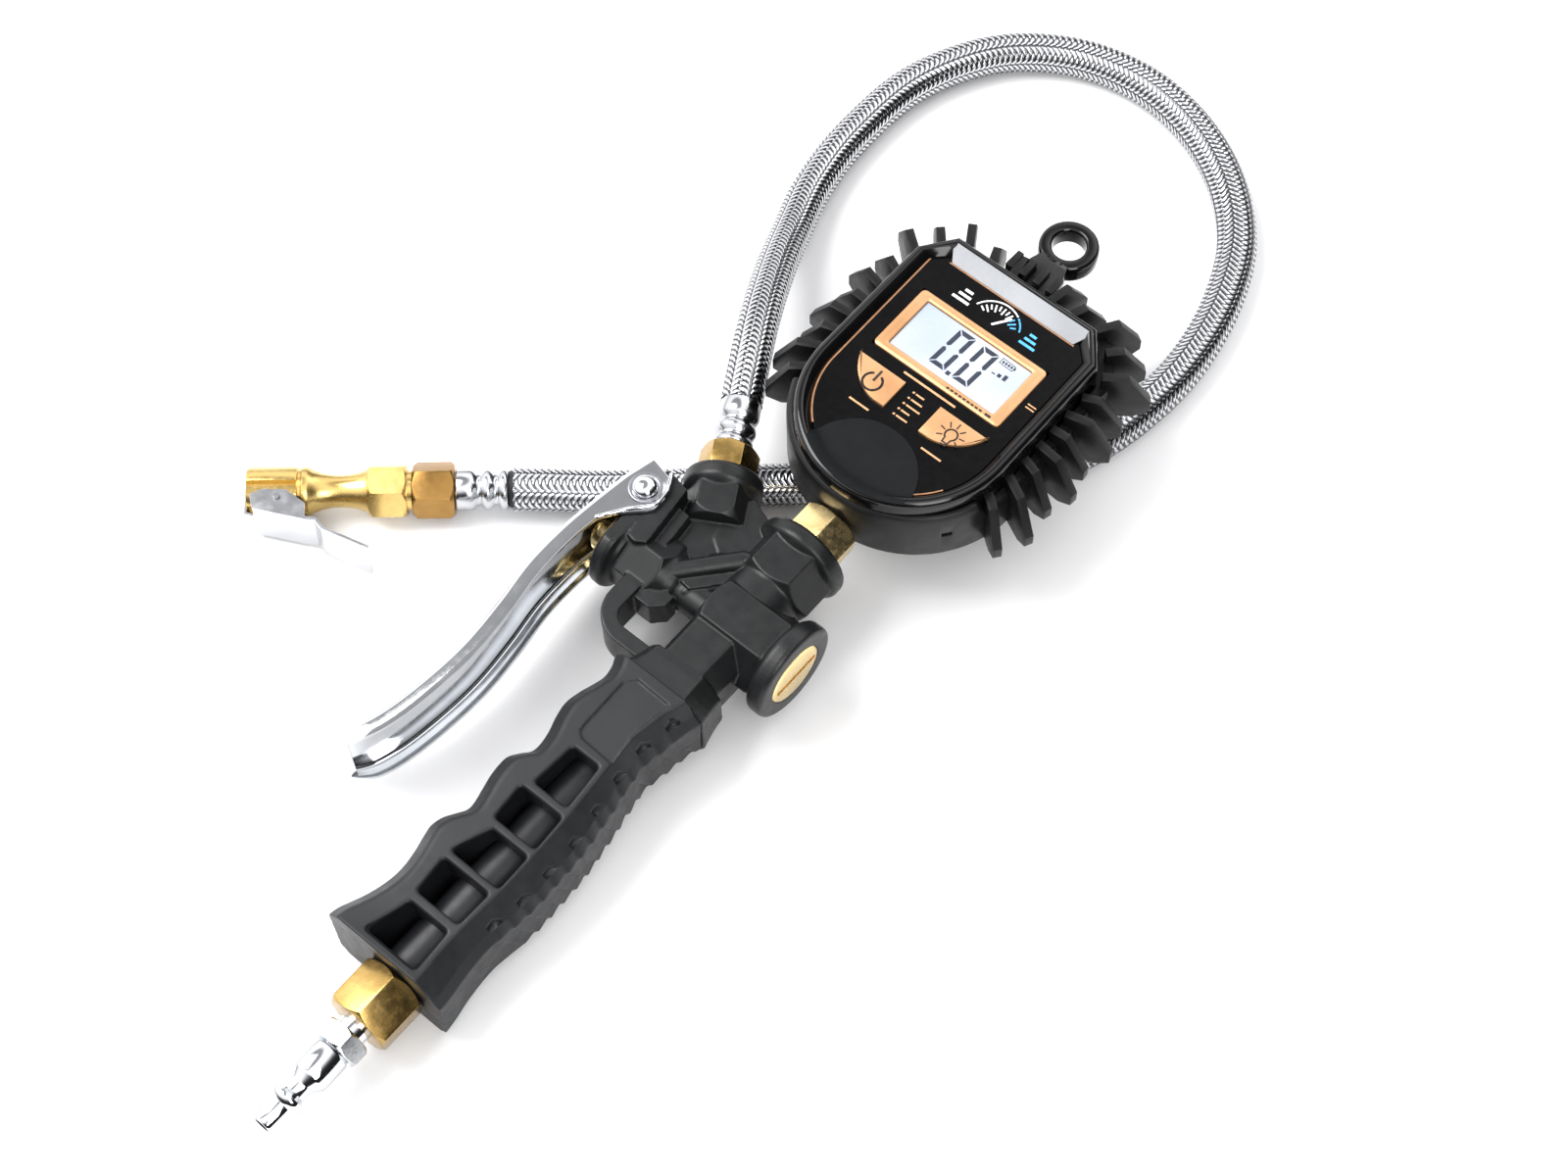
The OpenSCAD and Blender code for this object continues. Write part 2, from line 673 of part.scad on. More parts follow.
module chuck_body() {
    color("#d2a347") chuck_line() difference() {
        union() {
            along_x(chuck_s - 1 + gap) cylinder(d = 12, h = 3);
            along_x(chuck_s + 0.8) hexagon(15, 11.5);
            along_x(chuck_s + 12) rotate_extrude() polygon([[0, 0], [6.8, 0], [5.4, 3.5], [4.8, 8],
                [5.2, 12.5], [6.2, 16], [7, barrel_s - chuck_s - 12], [0, barrel_s - chuck_s - 12]]);
            along_x(barrel_s - 0.5) cylinder(d = 13.4, h = 3);
            along_x(barrel_s + 0.6) cylinder(d = chuck_d, h = chuck_end - barrel_s - 0.6);
        }
        along_x(chuck_s - 5) cylinder(d = 4, h = 60);
        along_x(64) cylinder(d = 8.8, h = 2.9);
        along_x(66) cylinder(d = 8, h = 20);
        for (z = [-16, 6]) translate([63, 0.5, z]) cube([30, 20, 10]);
        translate([67, 3.8, -2.5]) cube([20, 10, 5]);
        translate([clip_pivot[0], clip_pivot[1], -20]) cylinder(d = 2.04, h = 40);
    }
}

module chuck_gasket() {
    color("black") chuck_line() along_x(64.1) tube(8.4, 3.4, 2.6);
}

module chuck_depressor() {
    color("#d2a347") chuck_line() {
        along_x(60) cylinder(d = 3.2, h = 4.5);
        along_x(64) cylinder(d = 2, h = 2.6);
    }
}

clip_pivot = [68.5, 6.2];
clip_t = 1;

module chuck_clip() {
    color("gainsboro") chuck_line() difference() {
        union() {
            for (z = [-7.3, 6.3]) translate([0, 0, z]) linear_extrude(clip_t)
                polygon([[60, 8.6], [66, 3.6], [73, 3.4], [76.6, 5.2], [75.5, 10.2], [60, 14.2]]);
            translate([0, 0, -7.3]) linear_extrude(14.6) polygon([[74.6, 9.3], [75.5, 10.2], [60, 14.2],
                [57, 14.6], [55, 17.6], [41, 24.6], [40.4, 23.7], [54.2, 16.8], [56.4, 13.6], [60, 13.1]]);
            translate([0, 0, -2.4]) linear_extrude(4.8)
                polygon([[74.4, 9.6], [75.4, 10.1], [78.6, 9.2], [78.6, 4.4], [77.8, 4.4], [77.8, 8.4]]);
        }
        translate([clip_pivot[0], clip_pivot[1], -20]) cylinder(d = 2.1, h = 40);
    }
}

module clip_pin() {
    color("silver") chuck_line() translate([clip_pivot[0], clip_pivot[1], -7.9]) cylinder(d = 2, h = 15.8);
}

module clip_spring() {
    color("gray") chuck_line() translate([clip_pivot[0], clip_pivot[1], -2.2]) tube(2.9, 2.2, 4.4);
}

inlet_plug();
inlet_adapter();
grip();
air_tube();
valve_body();
end_plug();
end_plug_seal();
valve_spring();
poppet();
poppet_seal();
plunger();
plunger_seal();
gland();
lever();
pivot_pin();
pin_clip();
gauge_stem();
stem_seal();
gauge_boot();
back_case();
bezel();
face_window();
lcd_frame();
lcd_panel();
power_button();
light_button();
thumb_pad();
circuit_board();
pressure_sensor();
battery_cells();
battery_door();
case_screws();
hose_fitting();
fitting_ferrule();
hose();
chuck_ferrule();
hose_nut();
chuck_body();
chuck_gasket();
chuck_depressor();
chuck_clip();
clip_pin();
clip_spring();
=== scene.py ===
# The looks of a tyre inflator with a digital gauge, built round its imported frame.
# Lengths are in millimetres in the tool's own frame until a mesh is made, and in metres after that.
import bisect
import math

import bpy
import bmesh
from mathutils import Matrix, Vector


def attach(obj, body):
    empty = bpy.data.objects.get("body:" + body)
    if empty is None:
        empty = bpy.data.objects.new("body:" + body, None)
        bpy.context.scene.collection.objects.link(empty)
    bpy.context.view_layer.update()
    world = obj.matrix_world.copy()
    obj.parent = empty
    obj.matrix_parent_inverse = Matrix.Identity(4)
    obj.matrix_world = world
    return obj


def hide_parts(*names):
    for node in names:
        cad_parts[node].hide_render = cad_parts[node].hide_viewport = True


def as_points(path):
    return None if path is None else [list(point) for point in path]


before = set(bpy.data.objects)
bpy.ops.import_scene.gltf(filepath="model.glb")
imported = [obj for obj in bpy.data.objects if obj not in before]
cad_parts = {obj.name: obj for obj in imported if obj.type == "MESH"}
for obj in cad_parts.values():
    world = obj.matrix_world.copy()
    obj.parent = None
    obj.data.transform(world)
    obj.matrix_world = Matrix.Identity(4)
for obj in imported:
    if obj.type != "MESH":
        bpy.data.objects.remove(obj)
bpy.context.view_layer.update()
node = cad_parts

TILT = math.radians(3.6)
VALVE_AT = Vector((5.17, 12.22, 0))
AXIS_H = 139 * math.sin(TILT) + 15 * math.cos(TILT)
TOOL = Matrix.Translation(VALVE_AT + Vector((0, 0, AXIS_H))) @ Matrix.Rotation(TILT, 4, "X")
ALONG_X = Matrix.Rotation(math.radians(90), 4, "Y")
ALONG_Y = Matrix.Rotation(math.radians(-90), 4, "X")
DOWN_Y = Matrix.Rotation(math.radians(90), 4, "X")


def shift(x, y, z):
    return Matrix.Translation((x, y, z))


def about_z(degrees):
    return Matrix.Rotation(math.radians(degrees), 4, "Z")


# The hose leaves a port that leans out from the tool, and ends in the chuck, which lies on the table.
PORT_X, PORT_TURN = -13.5, math.radians(30)
HOSE_PORT = shift(PORT_X, 0, 0) @ Matrix.Rotation(PORT_TURN, 4, "Z") @ ALONG_Y
FITTING_S, FERRULE_S, FERRULE_LENGTH = 41.8, 51.3, 16
HOSE_R = 6.5
CHUCK_AT, CHUCK_TURN = (-87.5, -1, 8.9), math.radians(222)
CHUCK = Matrix.Translation(VALVE_AT) @ shift(*CHUCK_AT) @ Matrix.Rotation(CHUCK_TURN, 4, "Z") @ ALONG_X


# ---- Outlines ----
def arc(x, y, r, degrees):
    """Points on a circle, at angles measured clockwise from +Y."""
    return [(x + r * math.sin(math.radians(a)), y + r * math.cos(math.radians(a))) for a in degrees]


def at_height(outline, z):
    return [(x, y, z) for x, y in outline]


def rounded(corners, steps=5):
    """A closed outline with corners (x, y, radius), always with the same number of points."""
    out = []
    for i, (x, y, r) in enumerate(corners):
        p = Vector((x, y))
        a = Vector(corners[i - 1][:2]) - p
        b = Vector(corners[(i + 1) % len(corners)][:2]) - p
        back = min(r / math.tan(a.angle(b) / 2), 0.48 * a.length, 0.48 * b.length)
        start, end = p + a.normalized() * back, p + b.normalized() * back
        for k in range(steps + 1):
            t = k / steps
            q = start * (1 - t) ** 2 + p * 2 * t * (1 - t) + end * t ** 2
            out.append((q.x, q.y))
    return out


def smooth(a, b, c, d, t):
    """The Catmull-Rom curve from b to c."""
    return 0.5 * (2 * b + (c - a) * t + (2 * a - 5 * b + 4 * c - d) * t * t
                  + (3 * b - a - 3 * c + d) * t ** 3)


def curve(points, x):
    """Height at x of a smooth curve through (x, height) points."""
    last = len(points) - 1
    i = max(0, min(last - 1, sum(1 for p in points[1:-1] if p[0] <= x)))
    (x1, b), (x2, c) = points[i], points[i + 1]
    t = min(max((x - x1) / (x2 - x1), 0.0), 1.0)
    return smooth(points[max(0, i - 1)][1], b, c, points[min(last, i + 2)][1], t)


def spline(points, steps):
    """A smooth line through points, with a number of steps between each two."""
    last = len(points) - 1
    out = [smooth(points[max(0, i - 1)], points[i], points[i + 1], points[min(last, i + 2)], j / steps)
           for i in range(last) for j in range(steps)]
    return out + [points[-1]]


# ---- Meshes ----


class Solid:
    """Closed shells collected into one mesh, each given in millimetres."""

    def __init__(self):
        self.points = []
        self.faces = []

    def loft(self, rings, at=None, closed=False):
        """Joins rings of points in order: back to the first if closed, or else with a cap at each end."""
        n, m = len(rings[0]), len(rings)
        faces = []
        for k in range(m if closed else m - 1):
            for i in range(n):
                a, b = k * n + i, k * n + (i + 1) % n
                c, d = ((k + 1) % m) * n + (i + 1) % n, ((k + 1) % m) * n + i
                faces.append((a, b, c, d))
        if not closed:
            faces.append(tuple(reversed(range(n))))
            faces.append(tuple((m - 1) * n + i for i in range(n)))
        base = len(self.points)
        self.points += [(at @ Vector(p)) if at else Vector(p) for ring in rings for p in ring]
        self.faces += [tuple(base + i for i in f) for f in faces]
        return self

    def prism(self, outline, z0, z1, at=None):
        return self.loft([at_height(outline, z) for z in (z0, z1)], at)

    def box(self, low, high, at=None):
        (a, b, c), (d, e, f) = low, high
        return self.prism([(a, b), (d, b), (d, e), (a, e)], c, f, at)

    def turned(self, profile, at=None, sides=64, closed=False):
        """Profile: (radius, height) pairs going up, or a closed loop of them for a ring or a sleeve."""
        rings = [[(r * math.cos(2 * math.pi * i / sides), r * math.sin(2 * math.pi * i / sides), h)
                  for i in range(sides)] for r, h in profile]
        return self.loft(rings, at, closed=closed)

    def nut(self, across, h0, h1, turn=0, at=None, chamfer=1.0):
        """A hexagon whose end corners are turned off, as on a machined nut."""
        r = across / 2 / math.cos(math.radians(30))
        flat = across / 2
        steps = 16
        corners = arc(0, 0, r, [90 - turn - 60 * i for i in range(7)])
        outline = [(x0 + (x1 - x0) * j / steps, y0 + (y1 - y0) * j / steps)
                   for (x0, y0), (x1, y1) in zip(corners, corners[1:]) for j in range(steps)]
        top = flat * 0.985

        def end_face(h):
            return [(x * top / math.hypot(x, y), y * top / math.hypot(x, y), h) for x, y in outline]

        def edge(h, way):
            """The corners are turned off by up to the chamfer's height."""
            return [(x, y, h + way * (0.15 + chamfer * max(0, math.hypot(x, y) - flat) / (r - flat)))
                    for x, y in outline]

        return self.loft([end_face(h0), edge(h0, 1), edge(h1, -1), end_face(h1)], at)

    def mesh(self, name, where=TOOL):
        m = bpy.data.meshes.new(name)
        m.from_pydata([(where @ p) * 0.001 for p in self.points], [], self.faces)
        m.update()
        bm = bmesh.new()
        bm.from_mesh(m)
        bmesh.ops.recalc_face_normals(bm, faces=bm.faces)
        bm.to_mesh(m)
        bm.free()
        return m


def settle(obj):
    """Applies what modifiers an object has."""
    bpy.context.view_layer.update()
    done = bpy.data.meshes.new_from_object(obj.evaluated_get(bpy.context.evaluated_depsgraph_get()))
    obj.modifiers.clear()
    obj.data = done


def placed(name, data):
    obj = bpy.data.objects.new(name, data)
    bpy.context.collection.objects.link(obj)
    return obj


def break_edges(obj, width, segments, angle):
    mod = obj.modifiers.new("edge", "BEVEL")
    mod.width = width * 0.001
    mod.segments = segments
    mod.limit_method = "ANGLE"
    mod.angle_limit = math.radians(angle)


def show(name, solid, body, mat, stands_for=(), where=TOOL, bevel=0.0, segments=2, angle=30, moulded=0.0,
         soften=4, cut=(), late=()):
    """One finished piece: its mesh, its edges rounded by a bevel or by remeshing, its material and its body.

    Cutters in cut are taken away before the remesh, and those in late after it, where an edge stays crisp."""
    obj = placed(name, solid.mesh(name, where))

    def take(cutter):
        tool = placed(f"{name}_cut", cutter.mesh("cut", where))
        mod = obj.modifiers.new("cut", "BOOLEAN")
        mod.operation = "DIFFERENCE"
        mod.solver = "MANIFOLD"
        mod.object = tool
        settle(obj)
        bpy.data.objects.remove(tool)

    for cutter in cut:
        take(cutter)
    if moulded:
        mod = obj.modifiers.new("skin", "REMESH")
        mod.mode = "VOXEL"
        mod.voxel_size = moulded * 0.001
        mod = obj.modifiers.new("soft", "SMOOTH")
        mod.iterations = soften
        mod.factor = 0.5
        settle(obj)
    for cutter in late:
        take(cutter)
    if bevel:
        break_edges(obj, bevel, segments, angle)
        settle(obj)
    obj.data.materials.clear()
    obj.data.materials.append(mat)
    obj.data.polygons.foreach_set("use_smooth", [True] * len(obj.data.polygons))
    if not moulded:
        obj.data.set_sharp_from_angle(angle=math.radians(angle))
    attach(obj, body)
    if stands_for:
        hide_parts(*stands_for)
    return obj


# ---- Materials ----
def linear(r, g, b):
    def one(c):
        c /= 255
        return c / 12.92 if c <= 0.04045 else ((c + 0.055) / 1.055) ** 2.4
    return (one(r), one(g), one(b), 1.0)


class Mat:
    """A node material: a principled shader, with the texture nodes that feed it."""

    def __init__(self, name, metallic=0.0, specular=0.5):
        self.m = bpy.data.materials.new(name)
        self.m.use_nodes = True
        self.t = self.m.node_tree
        self.s = next(n for n in self.t.nodes if n.type == "BSDF_PRINCIPLED")
        self.s.inputs["Metallic"].default_value = metallic
        self.s.inputs["Specular IOR Level"].default_value = specular
        self.spot = self.t.nodes.new("ShaderNodeTexCoord")
        self.bump = None

    def new(self, kind):
        return self.t.nodes.new(kind)

    def link(self, a, b):
        self.t.links.new(a, b)

    def place(self, stretch=(1, 1, 1), coord="Object"):
        m = self.new("ShaderNodeMapping")
        m.inputs["Scale"].default_value = stretch
        self.link(self.spot.outputs[coord], m.inputs["Vector"])
        return m.outputs["Vector"]

    def noise(self, scale, detail=4, rough=0.55):
        n = self.new("ShaderNodeTexNoise")
        n.inputs["Scale"].default_value = scale
        n.inputs["Detail"].default_value = detail
        n.inputs["Roughness"].default_value = rough
        self.link(self.place(), n.inputs["Vector"])
        return n.outputs["Fac"]

    def ramp(self, fac, stops):
        r = self.new("ShaderNodeValToRGB")
        e = r.color_ramp.elements
        while len(e) < len(stops):
            e.new(0.5)
        for k, (at, colour) in enumerate(stops):
            e[k].position = at
            e[k].color = colour
        self.link(fac, r.inputs["Fac"])
        return r.outputs["Color"]

    def colour(self, fac, stops):
        self.link(self.ramp(fac, stops), self.s.inputs["Base Color"])

    def rough(self, fac, low, high):
        r = self.new("ShaderNodeMapRange")
        r.inputs["From Min"].default_value, r.inputs["From Max"].default_value = 0.3, 0.7
        r.inputs["To Min"].default_value, r.inputs["To Max"].default_value = low, high
        self.link(fac, r.inputs["Value"])
        self.link(r.outputs["Result"], self.s.inputs["Roughness"])

    def raised(self, fac, height, strength):
        """Adds bump, height in metres."""
        b = self.new("ShaderNodeBump")
        b.inputs["Strength"].default_value = strength
        b.inputs["Distance"].default_value = height
        self.link(fac, b.inputs["Height"])
        if self.bump:
            self.link(self.bump, b.inputs["Normal"])
        self.bump = b.outputs["Normal"]
        self.link(self.bump, self.s.inputs["Normal"])


def finish(name, dark, light, patches, rough, rough_patches, bumps=(), at=(0.3, 0.7), **shader):
    """Colour and roughness in patches (scale, detail), over bumps (scale, detail, height, strength)."""
    m = Mat(name, **shader)
    m.colour(m.noise(*patches), [(at[0], linear(*dark)), (at[1], linear(*light))])
    m.rough(m.noise(*rough_patches), *rough)
    for scale, detail, height, strength in bumps:
        m.raised(m.noise(scale, detail), height, strength)
    return m.m


def moulded_plastic(name, dark, light, rough=(0.42, 0.58), grain=2600, height=0.00004, shine=0.3):
    return finish(name, dark, light, (90, 5), rough, (260, 3),
                  ((grain, 2, height, 0.6), (140, 2, 0.00006, 0.25)), specular=shine)


def brass(name, low, high, rough=(0.2, 0.34)):
    return finish(name, low, high, (85, 6, 0.6), rough, (420, 4), ((2200, 3, 0.000008, 0.3),), (0.28, 0.62),
                  metallic=1.0)


def steel(name, dark, light, rough=(0.05, 0.12)):
    return finish(name, dark, light, (60, 4), rough, (300, 4), ((900, 3, 0.00001, 0.3),), metallic=1.0)


def printed(name, dark, light, scale=700):
    return finish(name, dark, light, (scale, 2), (0.35, 0.5), (900, 2))


def lcd_glass():
    """The lit display: bluer in patches, with a faint glow of its own."""
    m = Mat("lcd")
    m.colour(m.noise(34, 1), [(0.32, linear(122, 134, 154)), (0.5, linear(146, 152, 164)),
                              (0.68, linear(164, 168, 174))])
    glow = m.ramp(m.noise(34, 1), [(0.32, linear(196, 214, 240)), (0.5, linear(226, 234, 244)),
                                   (0.68, linear(243, 246, 248))])
    m.link(glow, m.s.inputs["Emission Color"])
    m.s.inputs["Emission Strength"].default_value = 0.36
    m.rough(m.noise(500, 2), 0.2, 0.3)
    return m.m


VALVE = moulded_plastic("valve_plastic", (17, 18, 18), (23, 24, 25), rough=(0.3, 0.4))
GRIP = moulded_plastic("grip_plastic", (23, 24, 26), (29, 30, 32), rough=(0.38, 0.5))
BOOT = moulded_plastic("boot_rubber", (11, 11, 12), (17, 17, 18), rough=(0.34, 0.45), shine=0.24, grain=1800,
                       height=0.00003)
TUBE = moulded_plastic("tube_plastic", (22, 23, 25), (29, 30, 33), rough=(0.36, 0.46))
PAD = moulded_plastic("pad_plastic", (12, 14, 15), (17, 19, 20), rough=(0.6, 0.72), grain=3200, shine=0.12)
SEAL = moulded_plastic("seal_rubber", (18, 18, 18), (26, 26, 26))
BRASS = brass("brass", (226, 198, 136), (240, 214, 156))
BRASS_CHUCK = brass("brass_chuck", (198, 166, 98), (212, 182, 114), rough=(0.2, 0.3))
BRASS_DARK = brass("brass_dark", (136, 102, 54), (156, 120, 68), rough=(0.2, 0.28))
# A darker copy of the brass, as painted shade for the darker front faces of the hose and inlet nuts.
SHADED_BRASS_NUT = brass("brass_nut", (158, 128, 72), (184, 152, 92), rough=(0.2, 0.3))
CHROME = steel("chrome", (204, 206, 209), (220, 222, 225))
CRIMP = steel("crimped_sleeve", (176, 177, 180), (200, 201, 204), rough=(0.1, 0.18))
NICKEL = steel("nickel", (190, 191, 194), (208, 209, 212), rough=(0.16, 0.26))
SPRING = steel("spring_steel", (120, 120, 124), (160, 160, 165), rough=(0.25, 0.4))
GLOSS = finish("gloss_black", (6, 6, 7), (11, 11, 12), (120, 4), (0.08, 0.18), (500, 4),
               ((160, 2, 0.00003, 0.15),), specular=0.4)
FACE = finish("face_black", (5, 5, 6), (9, 9, 10), (120, 4), (0.14, 0.22), (500, 4), specular=0.18)
COPPER = finish("copper_trim", (186, 138, 94), (208, 160, 116), (60, 3), (0.32, 0.42), (1600, 3),
                ((3000, 2, 0.00001, 0.3),), metallic=0.6)
PRINT_DARK = printed("print_dark", (30, 22, 18), (42, 32, 26))
PRINT_COPPER = printed("print_copper", (190, 140, 98), (212, 162, 118))
PRINT_BROWN = printed("print_brown", (140, 98, 66), (164, 118, 82))
PRINT_WHITE = printed("print_white", (226, 226, 226), (244, 244, 244))
PRINT_BLUE = printed("print_blue", (60, 150, 205), (88, 178, 226))
SEGMENT = printed("lcd_segment", (26, 32, 46), (38, 46, 62))
LCD = lcd_glass()
SLANT = printed("slant_face", (118, 120, 124), (148, 150, 154), 28)


# ---- Camera ----
CAMERA_AT = Vector((256.8, -312.8, 730.4)) + VALVE_AT
TOWARD_CAMERA = Vector((0.31, -0.4048, 0.8602)).normalized()
TOOL_RIGHT = Vector((0.9457, 0.0383, -0.3228)).normalized()
TOOL_UP = Vector((0.0977, 0.9136, 0.3947)).normalized()
ROLL = math.radians(42.4)  # the tool lies across the frame by this much
LENS_MM = 65.25

camera = placed("camera", bpy.data.cameras.new("camera"))
camera.data.sensor_width = 36
camera.data.lens = LENS_MM
camera.data.clip_start = 0.01
frame_right = (TOOL_RIGHT * math.cos(ROLL) + TOOL_UP * math.sin(ROLL)).normalized()
frame_up = TOWARD_CAMERA.cross(frame_right)
camera.matrix_world = Matrix((frame_right, frame_up, TOWARD_CAMERA)).transposed().to_4x4()
camera.matrix_world.translation = CAMERA_AT * 0.001
bpy.context.scene.camera = camera


# ---- Light and floor ----
def softbox(name, at, target, size, power):
    lamp = bpy.data.lights.new(name, "AREA")
    lamp.shape = "RECTANGLE"
    lamp.size, lamp.size_y = size
    lamp.energy = power
    obj = placed(name, lamp)
    look = (Vector(at) - Vector(target)).normalized()
    obj.matrix_world = look.to_track_quat("Z", "Y").to_matrix().to_4x4()
    obj.matrix_world.translation = at


softbox("key", (-0.75, -0.30, 1.10), (0, 0, 0), (0.8, 0.9), 24)
softbox("fill", (0.80, -0.45, 0.85), (0, 0, 0), (0.5, 0.8), 9)
softbox("back", (0.1, 0.95, 0.75), (0, 0.1, 0), (0.9, 0.3), 2)

# A sky shaded along a leaning axis, so that faces turned to the tool's right come out darker.
SKY_LEAN = math.radians(26)
SKY = [(0.0, 0.02), (0.22, 0.06), (0.38, 0.4), (0.52, 1.3), (0.7, 1.9), (0.84, 1.9), (0.91, 0.45), (1.0, 0.5)]

world = bpy.data.worlds.new("studio")
bpy.context.scene.world = world
world.use_nodes = True
tree = world.node_tree
direction = tree.nodes.new("ShaderNodeTexCoord")
leaning = tree.nodes.new("ShaderNodeMapping")
split = tree.nodes.new("ShaderNodeSeparateXYZ")
shade = tree.nodes.new("ShaderNodeValToRGB")
leaning.inputs["Rotation"].default_value = (0, SKY_LEAN, 0)
tree.links.new(direction.outputs["Generated"], leaning.inputs["Vector"])
tree.links.new(leaning.outputs["Vector"], split.inputs[0])
tree.links.new(split.outputs["Z"], shade.inputs["Fac"])
tree.links.new(shade.outputs["Color"], tree.nodes["Background"].inputs["Color"])
stops = shade.color_ramp.elements
while len(stops) < len(SKY):
    stops.new(0.5)
for stop, (at, grey) in zip(stops, SKY):
    stop.position = at
    stop.color = (grey, grey, grey * 1.02, 1)
bpy.context.scene.view_settings.view_transform = "Standard"

floor = placed("floor", bpy.data.meshes.new("floor"))
floor.data.from_pydata([(-3, -3, 0), (3, -3, 0), (3, 3, 0), (-3, 3, 0)], [], [(0, 1, 2, 3)])
floor_mat = Mat("floor", specular=0.1)
floor_mat.s.inputs["Roughness"].default_value = 0.9
floor_mat.colour(floor_mat.noise(3, 2), [(0.3, (0.78, 0.78, 0.78, 1)), (0.7, (0.80, 0.80, 0.80, 1))])
floor.data.materials.append(floor_mat.m)

# ---- Valve body: one moulding ----
PIVOT = shift(-44.4, 13.1, 0)


def level(corners, y):
    """A ring at one place along the tool, its outline given in X and Z."""
    return [(x, y, z) for x, z in rounded(corners, 4)]


def collar_level(y, k):
    """The collar over the grip's end, wider by steps of k."""
    return level([
        (13.6 + k * 0.5, -8 - k, 2), (11.6 + k * 0.5, -11.4 - k, 1.5), (-10.5 - k * 0.6, -11.4 - k, 2),
        (-12.2 - k * 0.7, -9 - k, 2), (-12.2 - k * 0.7, 7.0 + k, 2), (-9.3 - k * 0.5, 10.9 + k * 1.05, 1.0),
        (7.2 + k * 0.6, 10.9 + k * 1.05, 0.8), (13.6 + k * 0.5, 4.6 + k * 0.6, 2)], y)


def cut_round(r, h, flat=12.2):
    """A round level with its two sides cut flat."""
    return [(min(flat, max(-flat, x)), y, h) for x, y in arc(0, 0, r, [90 - 5 * i for i in range(72)])]


def bar(solid, a, b, r):
    """A round bar between two points, with rounded ends."""
    a, b = Vector(a), Vector(b)
    turn = (b - a).to_track_quat("Z", "Y").to_matrix().to_4x4()
    h = (b - a).length
    solid.turned([(r * 0.5, -r * 0.8), (r * 0.87, -r * 0.45), (r, 0), (r, h), (r * 0.87, h + r * 0.45),
                  (r * 0.5, h + r * 0.8)], Matrix.Translation(a) @ turn, sides=32)


valve = Solid()
# cross tube with its flange, stem of the body and collar
valve.nut(23.6, -8.2, 17.4, 30, ALONG_X, 1.8)
valve.turned([
    (12.6, 16.0), (14.4, 16.9), (15.2, 17.7), (15.5, 18.7), (15.5, 21.6), (15.1, 22.6), (14.3, 23.0)],
    ALONG_X)
valve.loft([
    level([(11.5, -6, 2), (7.5, -11, 2), (-5.5, -11, 2), (-8.5, -8, 2), (-8.5, 8, 2), (-6.4, 10.8, 1.2),
    (6.6, 10.8, 1.2), (11.5, 4.2, 2)], y) for y in (-24, -6)])
valve.loft([
    collar_level(y, k) for y, k in ((-30.7, 2.6), (-28.5, 1.75), (-26, 0.9), (-23.5, 0.25), (-21.6, 0),
    (-20.9, -0.4))])
# gauge port, hose port and gland port
valve.nut(23.6, 14.6, 28.4, 0, ALONG_Y, 1.6)
valve.turned([(11.2, 4), (11.2, 13.4), (11.5, 15.2), (11.0, 17)], ALONG_Y)
valve.turned([
    (12.3, 26.6), (13.7, 27.5), (14.3, 28.2), (14.5, 29.2), (14.5, 31.4), (14.0, 32.5), (13.1, 33.0)],
    ALONG_Y)
valve.nut(19.6, 24.4, 37.0, 0, HOSE_PORT, 2.6)
valve.turned([
    (10.2, 34.6), (11.2, 35.6), (11.8, 36.4), (12.0, 37.2), (12.0, 40.0), (11.6, 41.0), (10.8, 41.5)],
    HOSE_PORT)
valve.nut(19, -38.8, -25.0, 0, ALONG_X, 1.2)
valve.loft([cut_round(r, h) for r, h in ((12.6, -44.5), (13.2, -44.2), (13.5, -43.5), (13.5, -41.2),
                                         (13.0, -40.2), (11.6, -39.4), (10.6, -38.0))], ALONG_X)
valve.turned([(9.4, -26.4), (9.2, -24.6), (8.2, -22.4), (7.0, -20.6), (6.0, -19.6)], ALONG_X)
valve.turned([(5.6, -22), (5.6, -4)], ALONG_X)
# webs and ribs between the ports
valve.prism([(-38, -4), (-38, 16), (-30, 24), (-16, 22), (-8, 18), (-8, 4), (-20, 4), (-24, -4)], -6, 4.4)
valve.prism([(-25, 27), (-21.4, 34.4), (-12.2, 31.2), (-8, 27), (-6, 14), (-13, 11), (-22, 17)], -4.5, 4.6)
valve.prism([(-22, 0), (-9, 16), (-5, 12), (-16, -1)], -6, 6.4)
bar(valve, (-24.4, -0.6, 5.8), (-9.4, 16.4, 6.2), 3.1)
bar(valve, (-17.0, -1.6, 4.2), (-5.2, 11.2, 4.4), 1.5)
valve.prism([(-17, -1), (-6, 11), (-3, 4), (-8, -2)], -6, 4.0)
bar(valve, (-17.6, 11.0, 5.2), (-15.4, 13.4, 5.2), 1.7)
# lever mount
valve.prism([
    (-47.2, 11), (-47.4, 15.5), (-46.4, 19.4), (-43.4, 22.8), (-35.4, 21.2), (-34.4, 13), (-32.9, 0.5),
    (-36, -1.5), (-39, -1), (-40, 5), (-43, 9)], -12.2, 12.2)
valve.prism([(-38, -4), (-38, 17), (-30.6, 16.4), (-29.6, 8), (-29.9, -3)], -8.6, 8.6)
